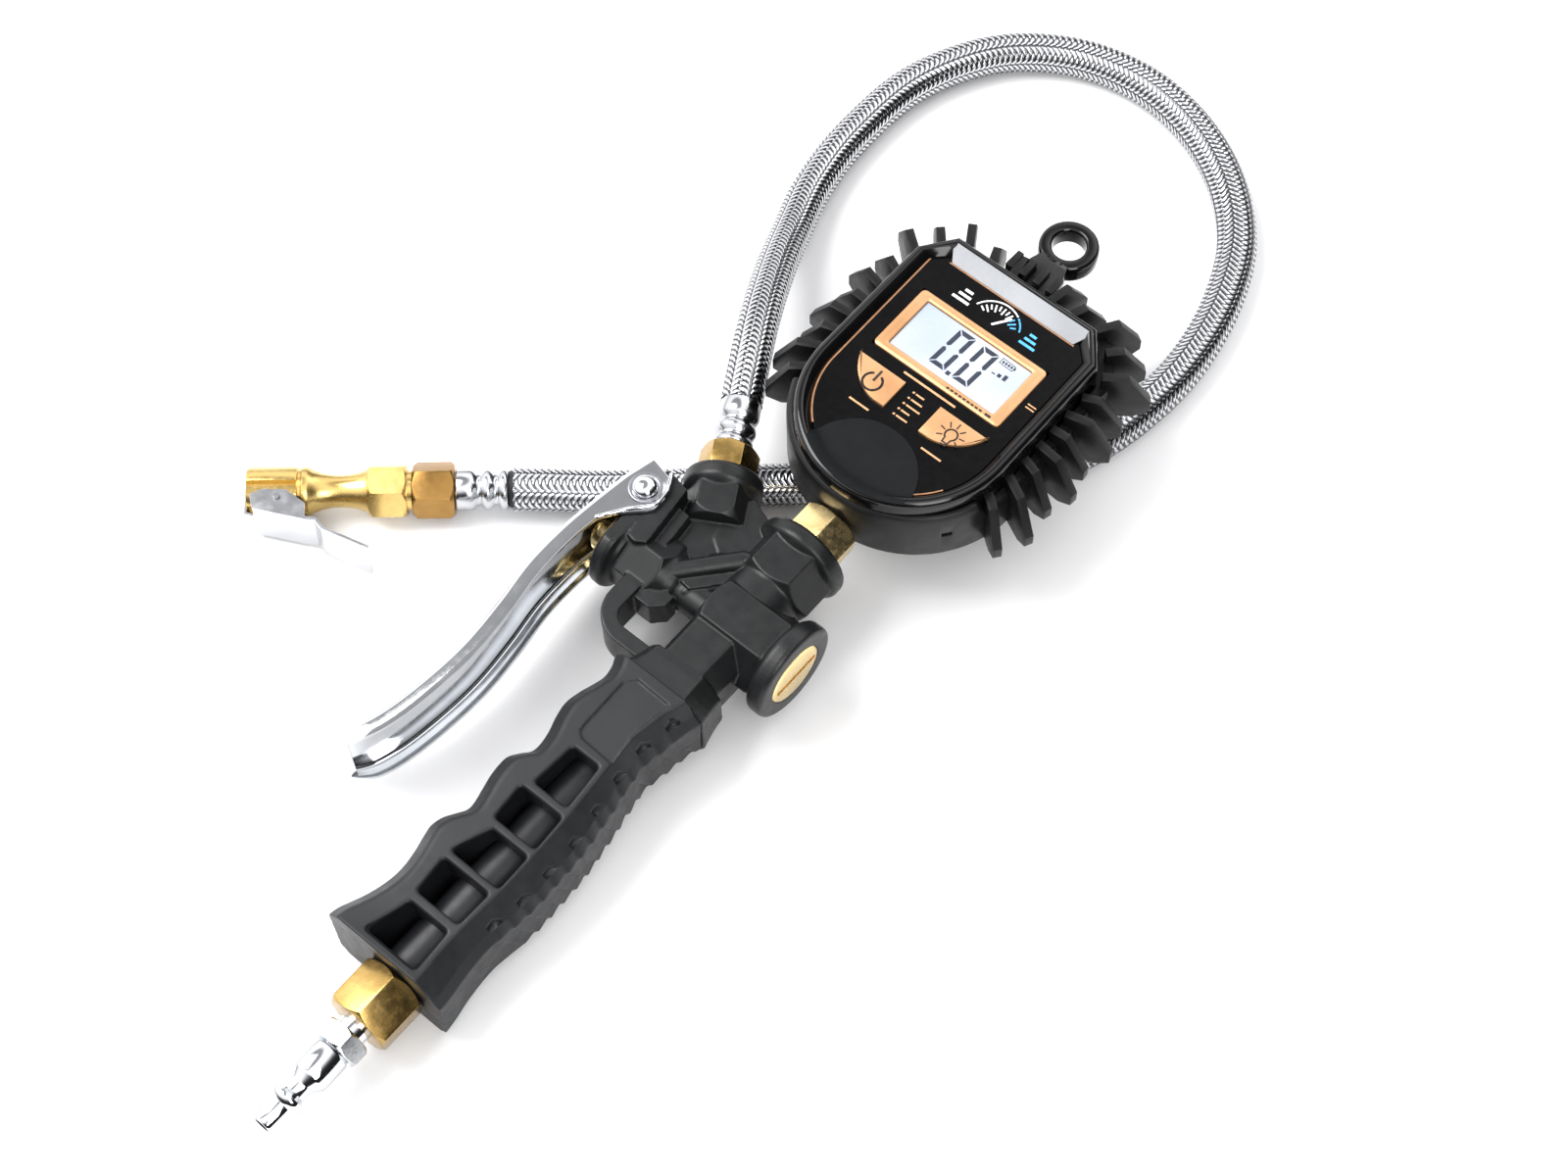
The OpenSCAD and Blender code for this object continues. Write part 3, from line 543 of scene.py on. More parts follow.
# finger guard
guard = [(-33.2, -7), (-33.2, -15.2)] + arc(-21.5, -15.2, 11.7, range(262, 181, -8))
guard += [(-21.5, -26.9), (-9, -26.9), (-9, -21.9), (-22.4, -21.9)] + arc(-22.4, -17.1, 4.8,
                                                                          range(190, 270, 10))
valve.prism(guard + [(-27.2, -17.1), (-27.2, -7)], -6.5, 6.5)
valve.prism([(-33, -5), (-33, -12.4), (-21.5, -12.4), (-18, -8.9), (-18, -5)], -5.2, 5.2)
bores = Solid()
bores.turned([
    (8.1, -47), (8.1, -32.9), (3.3, -32.89), (3.3, -2), (7, -1.99), (7, 15), (10.1, 15.01), (10.1, 27)],
    ALONG_X)
bores.turned([(7.7, -33), (7.7, -23)], ALONG_Y)
bores.turned([(2.52, -20), (2.52, 20)], PIVOT)
show("valve_moulding", valve, "body", VALVE, ["valve_body"], moulded=0.33, soften=2, late=(bores,))

# ---- Grip ----
# Edges of the grip by distance along it: finger side, palm side, and the crease where the palm band starts.
FINGERS = [
    (30.7, -17.3), (34, -15.8), (38, -15.1), (42, -16), (46, -17.3), (51, -18.1), (56, -17.2), (61, -15.6),
    (65.5, -14.9), (68.3, -15.3), (70.5, -17.2), (73.5, -19.2), (76.5, -19.5), (81, -19), (86, -17.8),
    (90, -16.9), (92.5, -17), (95.5, -18.8), (98.5, -20.6), (102, -21.4), (105, -20.9), (110, -19.7),
    (115, -18.9), (119.5, -18.9), (124, -19.7), (128.5, -21), (132.5, -22.6), (136, -23.9), (139, -24.3)]
PALM = [
    (30.7, 14.6), (34, 13.6), (38, 12.8), (43, 12.2), (48, 11.3), (52, 11.0), (57, 11.9), (61, 12.4),
    (66, 13.5), (71, 14.2), (77, 15.2), (84, 15.9), (92, 16.1), (100, 16.3), (107, 15.8), (113, 14.9),
    (118, 14.4), (124, 14.7), (129, 15.3), (134, 16.1), (139, 16.6)]
CREASE = [
    (30.7, 9.6), (37, 7.6), (43, 6.5), (48, 5.5), (56, 5.9), (66, 6.6), (78, 7.5), (92, 8.0), (105, 8.1),
    (118, 7.6), (128, 7.7), (139, 8.6)]
HALF_DEPTH = 14
RIBS_FROM, RIBS_TO, RIB_PITCH, RIB_DEPTH = 40.0, 114.0, 5.3, 1.1
# Windows over the air tube, each by its corners (distance along the grip, X).
WINDOWS = [
    [(61.2, -5.2), (61.2, 3.9), (75.6, 5.3), (75.6, -6.3)],
    [(78.9, -8.4), (78.9, 6.3), (90.2, 7.0), (90.2, -7.5)],
    [(93.4, -5.6), (93.4, 6.9), (104.9, 7.2), (104.9, -10.2)],
    [(108.0, -10.0), (108.0, 6.1), (119.3, 5.8), (119.3, -8.9)],
    [(122.9, -8.3), (122.9, 5.0), (135.9, 5.8), (135.9, -11.8)]]


def palm_rib(s, z):
    """How far the palm band stands out at distance s: slanting saw-tooth ribs."""
    s = s - 0.43 * (z - 6)
    if not RIBS_FROM < s < RIBS_TO:
        return 0.0
    t = ((s - RIBS_FROM) / RIB_PITCH) % 1.0
    return 0.3 - RIB_DEPTH * (1 - t) if t > 0.14 else 0.3 - RIB_DEPTH * t / 0.14


def grip_at(s):
    """The grip's section at distance s: a body with broad corners, and a flat band down the palm."""
    h = HALF_DEPTH + max(0.0, (s - 124) / 15) ** 2
    l, r, c = curve(FINGERS, s), curve(PALM, s), curve(CREASE, s)
    ring = rounded([
        (r - 0.6, 3 - h, 1.5), (r - 3, -h, 1.5), (l + 3, -h, 2.5), (l, 3 - h, 2.5), (l, h - 5, 3.2),
        (l + 4.4, h, 3.0), (c, h, 0.8), (r - 2.3, h - 5.2, 0.6), (r, h - 8.4, 0.8)], 5)
    ring += [(r - 0.6 * k / 16, h - 9.2 - (2 * h - 13.4) * k / 16) for k in range(1, 16)]
    return [(x + (palm_rib(s, z) if x > r - 2.0 and z < h - 5.9 else 0), -s, z) for x, z in ring]


def window_at(corners, grow, z):
    mid_x = sum(x for s, x in corners) / 4
    mid_s = sum(s for s, x in corners) / 4
    return at_height(rounded([(x + math.copysign(grow, x - mid_x), -(s + math.copysign(grow, s - mid_s)), 1.4)
                              for s, x in corners], 4), z)


grip = Solid()
grip.loft([grip_at(s) for s in [30.7, 31.1] + [31.5 + 0.53 * k for k in range(202)] + [138.9, 139.0]])
windows = Solid()
for corners in WINDOWS:
    windows.loft([window_at(corners, grow, z) for grow,
                  z in ((0.3, -11), (0.3, 12.4), (0.1, 13.2), (0.9, 14.3), (0.9, 16))])
panel = Solid()
panel.prism([
    (-5.4, -34.2), (-8.0, -37.6), (-7.6, -54.6), (-7.1, -56.4), (-5.2, -57.8), (6.4, -58.4), (5.0, -47),
    (6.6, -34.6)], 13.45, 16)
notches = Solid()
for s in (37.5, 48, 58.5, 69.5, 80.5, 91.5, 102, 112.5):
    r = curve(PALM, s)
    notches.prism([(r - 4.2, -s + 0.4), (r - 2.9, -s + 2.4), (r - 1.9, -s + 2.4), (r - 2.2, -s - 2.2),
                   (r - 3.9, -s - 2.2)], 8.6, 12)
tube_way = Solid().turned([(7.7, -141), (7.7, -20)], ALONG_Y)
show("grip_moulding", grip, "body", GRIP, ["grip"], cut=(windows, panel, tube_way), late=(notches,),
     moulded=0.3, soften=3)

# ---- Lever: one pressed channel ----
# The line of its web, and the depth of its cheeks by place along the tool.
LEVER_LINE = [
    (-49.2, 22.0), (-50.4, 17.0), (-51.5, 12.0), (-53.0, 0.0), (-54.0, -12.0), (-53.8, -26.0),
    (-51.6, -41.0), (-50.2, -56.0), (-50.7, -70.0), (-52.5, -84.0), (-55.4, -94.0), (-59.0, -100.5)]
CHEEK = [
    (-101, 2.2), (-99, 3.2), (-95, 4.2), (-90, 4.5), (-10, 4.5), (-3.5, 4.6), (-1.5, 5.2), (4, 8.6),
    (9.5, 13.0), (11.5, 13.9), (16.0, 13.4), (17.2, 12.8), (20.0, 9.9), (22.0, 9.2)]
EAR = [(-48.4, -3.0), (-47.2, -1.2), (-43.3, 4.6), (-38.6, 9.9), (-37.9, 11.8), (-38.4, 16.6), (-41.0, 21.2)]
LEVER_HALF, SHEET, CROWN = 13.9, 1.3, 0.35


def cheek_depth(y):
    for (y0, d0), (y1, d1) in zip(CHEEK, CHEEK[1:]):
        if y <= y1:
            return d0 + (d1 - d0) * min(max((y - y0) / (y1 - y0), 0), 1)
    return CHEEK[-1][1]


def channel(depth, half):
    """Section of the channel: (out from the web's back, across), outer side first."""
    bend, inner_bend, steps, t = 2.3, 1.1, 6, SHEET
    mid = depth * 0.5 + bend * 0.5
    quarter = [(math.sin(math.radians(90 * k / steps)), math.cos(math.radians(90 * k / steps)))
               for k in range(steps + 1)]
    across = [(-CROWN * (1 - f ** 2), (half - bend) * f) for f in (0.6, 0.3, 0, -0.3, -0.6)]
    side, inside = half - bend, half - t - inner_bend
    outer = [(depth, half), (mid, half)] + [(bend * (1 - s), side + bend * c) for s, c in quarter] + across
    outer += [(bend * (1 - c), -side - bend * s) for s, c in quarter] + [(mid, -half), (depth, -half)]
    inner = [(depth, t - half), (mid, t - half)]
    inner += [(t + inner_bend * (1 - s), -inside - inner_bend * c) for s, c in quarter]
    inner += [(t + a, -q) for a, q in across]
    inner += [(t + inner_bend * (1 - c), inside + inner_bend * s) for s, c in quarter]
    return outer + inner + [(mid, half - t), (depth, half - t)]


def lever_level(place, along, depth, half, scale=1.0, points=None):
    """The channel's section standing square to the web at one place."""
    out = Vector((-along.y, along.x, 0))
    return [tuple(place + out * (a * scale - SHEET) + Vector((0, 0, z * scale)))
            for a, z in channel(depth, half)[:points]]


web = spline([Vector((x, y, 0)) for x, y in LEVER_LINE], 12)
lever = Solid()
rings = []
for i, p in enumerate(web):
    along = (web[min(len(web) - 1, i + 1)] - web[max(0, i - 1)]).normalized()
    narrower = 2.6 * max(0.0, (-p.y - 92) / 8.5) ** 2
    rings.append(lever_level(p, along, cheek_depth(p.y) + SHEET, LEVER_HALF - narrower))
lever.loft(rings)
# The tip is closed by a rounded cap, made from the outer half of the section.
tip_way = (web[-1] - web[-2]).normalized()
lever.loft([lever_level(web[-1] + tip_way * at, tip_way, cheek_depth(web[-1].y) + 1.6, 11.25, scale, 23)
            for at, scale in ((-2.6, 1.0), (-0.3, 1.0), (0.5, 0.97), (0.9, 0.9))])
pin_way = Solid().turned([(2.54, -20), (2.54, 20)], PIVOT)
show("lever_channel", lever, "lever", CHROME, ["lever"], cut=(pin_way,), bevel=0.3, angle=40)
bead = Solid()
for z in (13.85, -13.85):
    for (x0, y0), (x1, y1) in zip(EAR, EAR[1:]):
        bar(bead, (x0 - 0.5, y0, z), (x1 - 0.5, y1, z), 0.7)
pin = Solid()
pin.turned([(2.5, -15.6), (2.5, 14.0), (3.6, 14.02), (3.85, 14.5), (3.7, 15.2), (3.2, 15.9), (2.4, 16.45),
            (1.4, 16.8), (0.4, 16.9)], PIVOT, sides=48)
show("pivot_head", pin, "body", CHROME, ["pivot_pin"], angle=50)
washer = Solid()
washer.turned([
    (4.0, 13.92), (5.0, 13.92), (5.15, 14.1), (5.0, 14.3), (4.5, 14.42), (4.0, 14.3)], PIVOT, closed=True)
show("pivot_rim", washer, "lever", SPRING)
show("lever_bead", bead, "lever", CHROME)

# ---- Gauge ----
FIN_CENTRE = 99
RING_AT = (-1.6, 157.8)


def tombstone(r, centre, shoulder, corner, g, sides=40):
    """An outline grown by g: half round below, straight sides, chamfered top corners."""
    r += g
    x, y = corner[0] + g * 0.6, corner[1] + g
    below = arc(0, centre, r, [-90 - 180 * k / sides for k in range(sides + 1)])
    return below + [(r, shoulder), (x, y), (-x, y), (-r, shoulder)]


def case_outline(g, sides=40):
    return tombstone(34, 79.5, 124, (26, 135), g, sides)


def boot_outline(g):
    return tombstone(37.7, 82, 129, (29.7, 140), g)


def wall_reach(a):
    """Distance from the fins' centre to the boot's wall, in one direction."""
    wall = [Vector(p) for p in boot_outline(0)]
    u = Vector((math.cos(a), math.sin(a)))
    best = 0
    for i, start in enumerate(wall):
        q = start - Vector((0, FIN_CENTRE))
        e = wall[(i + 1) % len(wall)] - start
        k = u.cross(e)
        if abs(k) > 1e-3:
            t, w = q.cross(e) / k, q.cross(u) / k
            if 0 <= w <= 1:
                best = max(best, t)
    return best


def rim_height(outline, z):
    """The boot's rim stands full height along the bare arc and lies low between the fins."""
    return [(x, y, z if abs(math.degrees(math.atan2(x, FIN_CENTRE - y))) < 50 else z - 5.2) for x,
            y in outline]


boot = Solid()
boot.loft([at_height(boot_outline(g), z) for g, z in ((-3.4, -6), (-2.7, -5.6), (-0.5, -3.3), (0, -2.2))]
          + [rim_height(boot_outline(g), z) for g, z in ((0, 15.4), (-0.3, 16.6), (-1.1, 17.4), (-1.8, 17.5))]
          + [rim_height(case_outline(0.3), 17.5), at_height(case_outline(0.3), -1.0)]
          + [at_height(case_outline(-2.3), z) for z in (-1.0, -4.0)])
# Fins all round but along the bare arc below and behind the hang ring, long and short by turns.
for k in range(1, 34):
    turn = k * 360 / 34
    if 50 < turn < 310 and abs(turn - 182) > 7:
        a = math.radians(turn - 90)
        out = 12.0 if k % 2 == 0 else 9.6
        at = (shift(0, FIN_CENTRE, 0) @ Matrix.Rotation(a, 4, "Z") @ shift(wall_reach(a) - 1.6, 1.35, 0)
              @ Matrix.Rotation(math.radians(90), 4, "X"))
        boot.prism([
            (0, -2.2), (out - 3, -2.0), (out + 1.6, 1.2), (out + 1.6, 5.6), (out - 5.6, 16.9), (-1.7, 17.2),
            (-1.7, 4)], 0, 2.7, at)
# Four small fins at the foot of the hang ring.
for x in (-10.2, -5.2, -0.2, 4.8):
    boot.prism([(-1.2, 0), (1.2, 0), (1.0, 6.2), (-1.0, 6.2)], 15.4 if -8 < x < 4 else 1.0, 17.2,
               shift(x, 139.0, 0))
door_way = Solid().box((-19, 66, -8), (19, 116, 3))
ring_way = Solid().box((-9.4, 130, 7.9), (6.2, 150, 15.3))
stem_way = Solid().turned([(5.2, 30), (5.2, 60)], ALONG_Y)
slot_mark = Solid().box((-1.6, -1.0, -1.0), (1.6, 1.0, 1.0), shift(30.2, 59.4, 8) @ about_z(53))
show("boot_rubber", boot, "body", BOOT, ["gauge_boot"], cut=(door_way, ring_way, stem_way, slot_mark),
     bevel=0.28, angle=28)

rim = Solid()
rim.loft([
    at_height(case_outline(g, 60), z) for g, z in ((0, 16.6), (0, 21.0), (-0.3, 21.9), (-0.9, 22.6),
    (-1.7, 23.0), (-2.5, 23.0), (-3.0, 22.75), (-4.7, 20.5), (-5.1, 20.05), (-5.2, 18.2), (-5.2, 16.6))],
    closed=True)
show("bezel_rim", rim, "body", GLOSS, ["bezel"], angle=50)
slant = Solid()
slant.loft([[(-26.2, 132.4, high), (26.2, 132.4, high), (22.6, 127.2, low), (-22.6, 127.2, low)]
            for high, low in ((23.02, 20.15), (22.6, 19.8))])
show("bezel_slant", slant, "body", SLANT, bevel=0.1, segments=1)

# ---- Gauge face ----
# Heights of the LCD's glass, the face, the display frame and the two keys.
LCD_Z, FACE_Z, FRAME_Z, KEY_Z = 19.6, 20.0, 20.42, 21.0
KEY_CORNER, KEY_R, KEY_SIDE = (8.6, 90.6), 15.7, 23.7


def stroke(solid, points, width, z, thick=0.07, reach=0.35, shut=False):
    """A flat raised line through points, its ends longer by reach times its width."""
    pts = [Vector(p) for p in points]
    if shut:
        pts.append(pts[0])
    for a, b in zip(pts, pts[1:]):
        d = (b - a).normalized()
        n = Vector((-d.y, d.x)) * width / 2
        e = d * width * reach
        solid.prism([tuple(a - e - n), tuple(b + e - n), tuple(b + e + n), tuple(a - e + n)], z, z + thick)


def flat_bar(solid, x0, y0, x1, y1, z, thick=0.07):
    """A flat raised bar."""
    solid.box((x0, y0, z), (x1, y1, z + thick))


trim = Solid()
stroke(trim, [(-28.6, 125.2), (-28.6, 79.5)] + arc(0, 79.5, 28.6, range(267, 221, -3)), 0.5, FACE_Z, 0.12, 0)
stroke(trim, arc(0, 79.5, 28.4, range(140, 121, -3)), 0.4, FACE_Z, 0.12, 0)
stroke(trim, [(-23.2, 126.9), (23.2, 126.9)], 0.4, FACE_Z, 0.12, 0)
show("copper_lines", trim, "body", PRINT_BROWN)

# Thumb pad: a round pad that rises from the face and is cut short by the rim.
PAD_R, PAD_FROM_CENTRE, PAD_EDGE = 18.0, 26.5, 32.8
rows = []
for k in range(61):
    phi = math.radians(42.5 * math.sin(math.radians(-90 + 3 * k)))
    middle = PAD_FROM_CENTRE * math.cos(phi)
    reach = math.sqrt(max(0.0, PAD_R ** 2 - (PAD_FROM_CENTRE * math.sin(phi)) ** 2))
    inner = middle - reach
    outer = max(inner + 0.05, min(PAD_EDGE, middle + reach))
    row = []
    for j in range(13):
        r = inner + (outer - inner) * j / 12
        rise = min(max((r - 28.2) / 3.0, 0.0), 1.0)
        z = 20.45 + 2.75 * rise * rise * (3 - 2 * rise)
        row.append((1.2 + r * math.sin(phi), 79.5 - r * math.cos(phi), z))
    rows.append(row + [(x, y, z - 0.5) for x, y, z in reversed(row)])
show("thumb_cover", Solid().loft(rows), "body", PAD, ["thumb_pad"], angle=60)


def key_outline(side, g):
    """Outline of a key, grown by g: straight above and inside, a quarter round below."""
    x, y = KEY_CORNER
    r = KEY_R + g
    start = math.degrees(math.asin((75 - g - y) / r))
    stop = -math.degrees(math.acos(min(1.0, (KEY_SIDE + g - x) / r)))
    outline = [(6.5 - g, 75 - g)] + arc(x, y, r, [90 - start - (stop - start) * k / 16 for k in range(17)])
    return [(side * x, y) for x, y in outline + [(KEY_SIDE + g, 85.4 + g), (6.5 - g, 85.4 + g)]]


def frame_level(x, y0, y1, corner, z):
    return at_height(rounded([(-x, y0, corner), (x, y0, corner), (x, y1, corner), (-x, y1, corner)], 6), z)


plate = Solid().prism(case_outline(-5.4), 18.3, FACE_Z)
plate_holes = Solid().box((-23.5, 90.3, 17), (23.5, 115.1, 21))
for side in (1, -1):
    plate_holes.prism(key_outline(side, 0.25), 17, 21)
show("face_plate", plate, "body", FACE, ["face_window"], cut=(plate_holes,), angle=40)
for name, side in (("light_button", 1), ("power_button", -1)):
    key = Solid().prism(key_outline(side, 0), 17, KEY_Z).prism(key_outline(side, 0.6), 15.6, 17.1)
    show(name + "_cap", key, name, COPPER, [name], bevel=0.35, segments=3, angle=35)
frame_piece = Solid()
frame_piece.loft([
    frame_level(23.2 + g, 90.6 - g, 114.8 + g, 1.8, z) for g,
    z in ((0, 17.2), (0, 20.2), (-0.25, FRAME_Z))]
    + [frame_level(19.6 - g, 93.4 + g, 112.2 - g, 0.7, z) for g,
    z in ((-0.25, FRAME_Z), (0, 20.2), (0, 17.2))], closed=True)
show("display_frame", frame_piece, "body", COPPER, ["lcd_frame"], angle=40)


def zero(solid, x, y):
    """A seven-segment 0 with pointed segment ends."""
    w, h, t, g, lean = 5.9, 14.6, 1.5, 0.28, 0.055
    half = h / 2
    for shape in ([(g, h), (w - g, h), (w - t - g, h - t), (t + g, h - t)],
                  [(w, h - g), (w, half + 0.5 * t), (w - t / 2, half + g), (w - t, half + 0.75 * t),
                   (w - t, h - t - g)], [(w, g), (w - t, t + g), (w - t, half - 0.75 * t),
                                         (w - t / 2, half - g), (w, half - 0.5 * t)],
                  [(t + g, t), (w - t - g, t), (w - g, 0), (g, 0)],
                  [(0, g), (0, half - 0.5 * t), (t / 2, half - g), (t, half - 0.75 * t), (t, t + g)],
                  [(0, h - g), (t, h - t - g), (t, half + 0.75 * t), (t / 2, half + g),
                   (0, half + 0.5 * t)]):
        solid.prism([(x + px + lean * py, y + py) for px, py in shape], LCD_Z, LCD_Z + 0.06)


# Digits, battery sign and three blocks on the display.
digits = Solid()
zero(digits, -6.9, 96.2)
zero(digits, 1.9, 96.0)
flat_bar(digits, -0.3, 95.7, 1.1, 97.1, LCD_Z, 0.06)
stroke(digits, [(9.7, 108.9), (14.4, 108.7), (14.5, 110.6), (9.8, 110.8)], 0.22, LCD_Z, 0.06, shut=True)
for k in range(4):
    flat_bar(digits, 10.3 + k, 109.3, 10.95 + k, 110.2, LCD_Z, 0.06)
flat_bar(digits, 14.6, 109.3, 15.0, 110.2, LCD_Z, 0.06)
for k in range(3):
    flat_bar(digits, 10.0 + 1.9 * k, 104.6, 11.2 + 1.9 * k, 105.0 + 0.8 * k, LCD_Z, 0.06)
show("display_digits", digits, "body", SEGMENT)

# Marks on the keys: a power sign and a lamp.
power = Solid()
stroke(power, arc(-14.2, 79.4, 3.0, range(28, 333, 12)), 0.75, KEY_Z)
stroke(power, [(-14.2, 80.0), (-14.2, 83.7)], 0.8, KEY_Z)
show("power_mark", power, "power_button", PRINT_DARK)
lamp = Solid()
stroke(lamp, arc(14.8, 79.8, 1.9, range(-142, 143, 12)), 0.5, KEY_Z)
stroke(lamp, [(13.7, 78.3), (13.9, 76.6), (15.7, 76.6), (15.9, 78.3)], 0.5, KEY_Z)
stroke(lamp, [(14.1, 75.8), (15.5, 75.8)], 0.5, KEY_Z)
for a in range(-120, 121, 40):
    x, y = math.sin(math.radians(a)), math.cos(math.radians(a))
    stroke(lamp, [(14.8 + 2.7 * x, 79.8 + 2.7 * y), (14.8 + 4.2 * x, 79.8 + 4.4 * y)], 0.42, KEY_Z)
show("lamp_mark", lamp, "light_button", PRINT_DARK)

# Plain marks in place of lettering: a dial arc with its needle, and short bars.
DIAL = (0, 117.2)
dial, dial_end = Solid(), Solid()
for a in range(-60, 61, 12):
    tick = arc(*DIAL, 5.8 if a % 24 else 5.0, [a]) + arc(*DIAL, 7.2, [a])
    stroke(dial if a < 30 else dial_end, tick, 0.5, FACE_Z)
stroke(dial, arc(*DIAL, 8.6, range(-66, 31, 6)), 0.5, FACE_Z)
stroke(dial_end, arc(*DIAL, 8.6, range(36, 67, 6)), 0.5, FACE_Z)
stroke(dial, [(0, 117.8), (3.4, 122.6)], 0.7, FACE_Z)
for k in range(3):
    flat_bar(dial, -15.6 + k, 118.2 + 1.9 * k, -9.6 - 0.6 * k, 119.1 + 1.9 * k, FACE_Z)
    flat_bar(dial_end, 9.6 + 0.6 * k, 117.8 + 1.9 * k, 15.2 - k, 118.7 + 1.9 * k, FACE_Z)
show("dial_mark", dial, "body", PRINT_WHITE)
show("dial_mark_end", dial_end, "body", PRINT_BLUE)
bars = Solid()
for k in range(5):
    y = 84.3 - 2.3 * k
    flat_bar(bars, -3.2, y, -2.5, y + 0.6, FACE_Z)
    flat_bar(bars, -2.0, y, 1.0 + (k * 7) % 3, y + 0.55, FACE_Z)
for x0, x1, y0, y1 in ((-9.5, 9.5, 88.0, 88.7), (-16.4, -9.2, 71.2, 71.8), (10.4, 17.6, 71.2, 71.8),
                       (25.0, 28.0, 102.6, 103.0), (25.0, 28.0, 101.4, 101.8)):
    flat_bar(bars, x0, y0, x1, y1, FACE_Z)
show("face_bars", bars, "body", PRINT_COPPER)
frame_marks = Solid()
for k in range(9):
    flat_bar(frame_marks, 3.4 + 1.5 * k, 91.6, 4.4 + 1.5 * k, 92.3, FRAME_Z, 0.06)
flat_bar(frame_marks, 17.6, 91.5, 19.6, 92.4, FRAME_Z, 0.06)
show("frame_marks", frame_marks, "body", PRINT_DARK)

# ---- Back case with its hang ring ----
case = Solid()
case.loft([
    at_height(case_outline(g), z) for g, z in ((-2.8, -3.6), (-2.7, -0.6), (-0.6, -0.4), (0, 0.2),
    (0, 16.0), (-0.4, 16.4), (-1.8, 16.4), (-2.2, 16.4), (-2.2, 1.8), (-4.8, 1.8), (-4.8, -1.5))])
case_hole = Solid().box((-17.3, 67.7, -7), (17.3, 114.3, 3.5))
case_stem = Solid().turned([(5.0, 30), (5.0, 61)], ALONG_Y)
show("case_back", case, "body", GLOSS, ["back_case"], cut=(case_hole, case_stem), angle=40)
loop = Solid()
loop.turned([
    (5.25, 8.9), (5.9, 8.2), (8.4, 8.2), (9.1, 8.9), (9.25, 9.6), (9.25, 13.6), (9.1, 14.3), (8.4, 15.0),
    (5.9, 15.0), (5.25, 14.3)], shift(*RING_AT, 0), closed=True)
loop.loft([[(RING_AT[0] + w * way, y, z) for way, z in ((-1, 8.2), (1, 8.2), (1, 15.0), (-1, 15.0))]
           for y, w in ((132.5, 6.6), (143, 6.6), (146.5, 6.2), (149.0, 5.4), (151.2, 4.4))])
show("hang_loop", loop, "body", GLOSS, bevel=0.3, angle=35)

# ---- Turned and hexagonal fittings ----
def ferrule(at, length=FERRULE_LENGTH):
    """A crimped sleeve over the hose's end: shallow waists between full-width bands."""
    return Solid().turned([
        (2.5, 0.0), (4.8, 0.0), (5.4, 0.2), (6.1, 0.9), (6.3, 1.6), (6.1, 2.5), (5.1, 3.3), (4.8, 4.0),
        (5.1, 4.7), (6.1, 5.6), (6.3, 6.6), (6.1, 7.6), (5.1, 8.4), (4.8, 9.1), (5.1, 9.8), (6.0, 10.6),
        (6.3, 11.5), (6.3, length - 0.5), (6.1, length), (2.5, length)], at, closed=True)


def brass_nut(name, solid, mat, stands_for, where=TOOL):
    return show(name, solid, "body", mat, [stands_for], where, bevel=0.12, angle=25)


stem = Solid()
stem.turned([(6.4, 22), (6.4, 34)], ALONG_Y)
stem.nut(17.6, 33.3, 44.0, 43, ALONG_Y)
stem.turned([(4.8, 43), (4.8, 58)], ALONG_Y)
brass_nut("gauge_fitting", stem, BRASS, "gauge_stem")
joint = Solid()
joint.nut(15.6, FITTING_S, 51.0, 0, HOSE_PORT)
joint.turned([(5.9, 31.5), (5.9, 42.5)], HOSE_PORT)
brass_nut("hose_fitting_nut", joint, SHADED_BRASS_NUT, "hose_fitting")
adapter = Solid()
adapter.nut(19, -155, -139.3, 40, ALONG_Y, 1.2)
adapter.turned([(5.25, -140), (5.25, -125)], ALONG_Y)
brass_nut("inlet_nut", adapter, SHADED_BRASS_NUT, "inlet_adapter")
end_plug = Solid()
end_plug.turned([(9.4, 15.4), (10.0, 16.0), (10.0, 22.5), (9.5, 23.05), (8.6, 23.3)], ALONG_X)
plug_slot = Solid().box((22.4, -8.2, -0.9), (24, 8.2, 0.9))
show("plug_disc", end_plug, "body", BRASS, ["end_plug"], cut=(plug_slot,), angle=40)
NOSE_AT = shift(0, -155, 0) @ DOWN_Y
nose = Solid()
nose.turned([(4.8, -9), (4.8, 3.2)], NOSE_AT)
nose.nut(13.6, 3.0, 9.0, 5, NOSE_AT, 0.9)
nose.turned([
    (5.0, 8.8), (5.3, 9.2), (5.9, 10.1), (5.9, 18.2), (5.6, 18.9), (3.9, 21.0), (3.7, 21.6), (3.7, 24.3),
    (4.2, 25.0), (5.3, 25.8), (5.4, 26.3), (5.4, 27.0), (4.7, 28.0), (3.9, 28.7), (3.9, 35.2), (3.5, 35.8)],
    NOSE_AT)
nose_bore = Solid().turned([(2.5, -10), (2.5, 40)], NOSE_AT)
show("quick_plug", nose, "body", CHROME, ["inlet_plug"], cut=(nose_bore,), angle=35)
FITTING_SLEEVE = show("fitting_sleeve", ferrule(HOSE_PORT @ shift(0, 0, FERRULE_S)), "body", CRIMP,
                      ["fitting_ferrule"], angle=60)

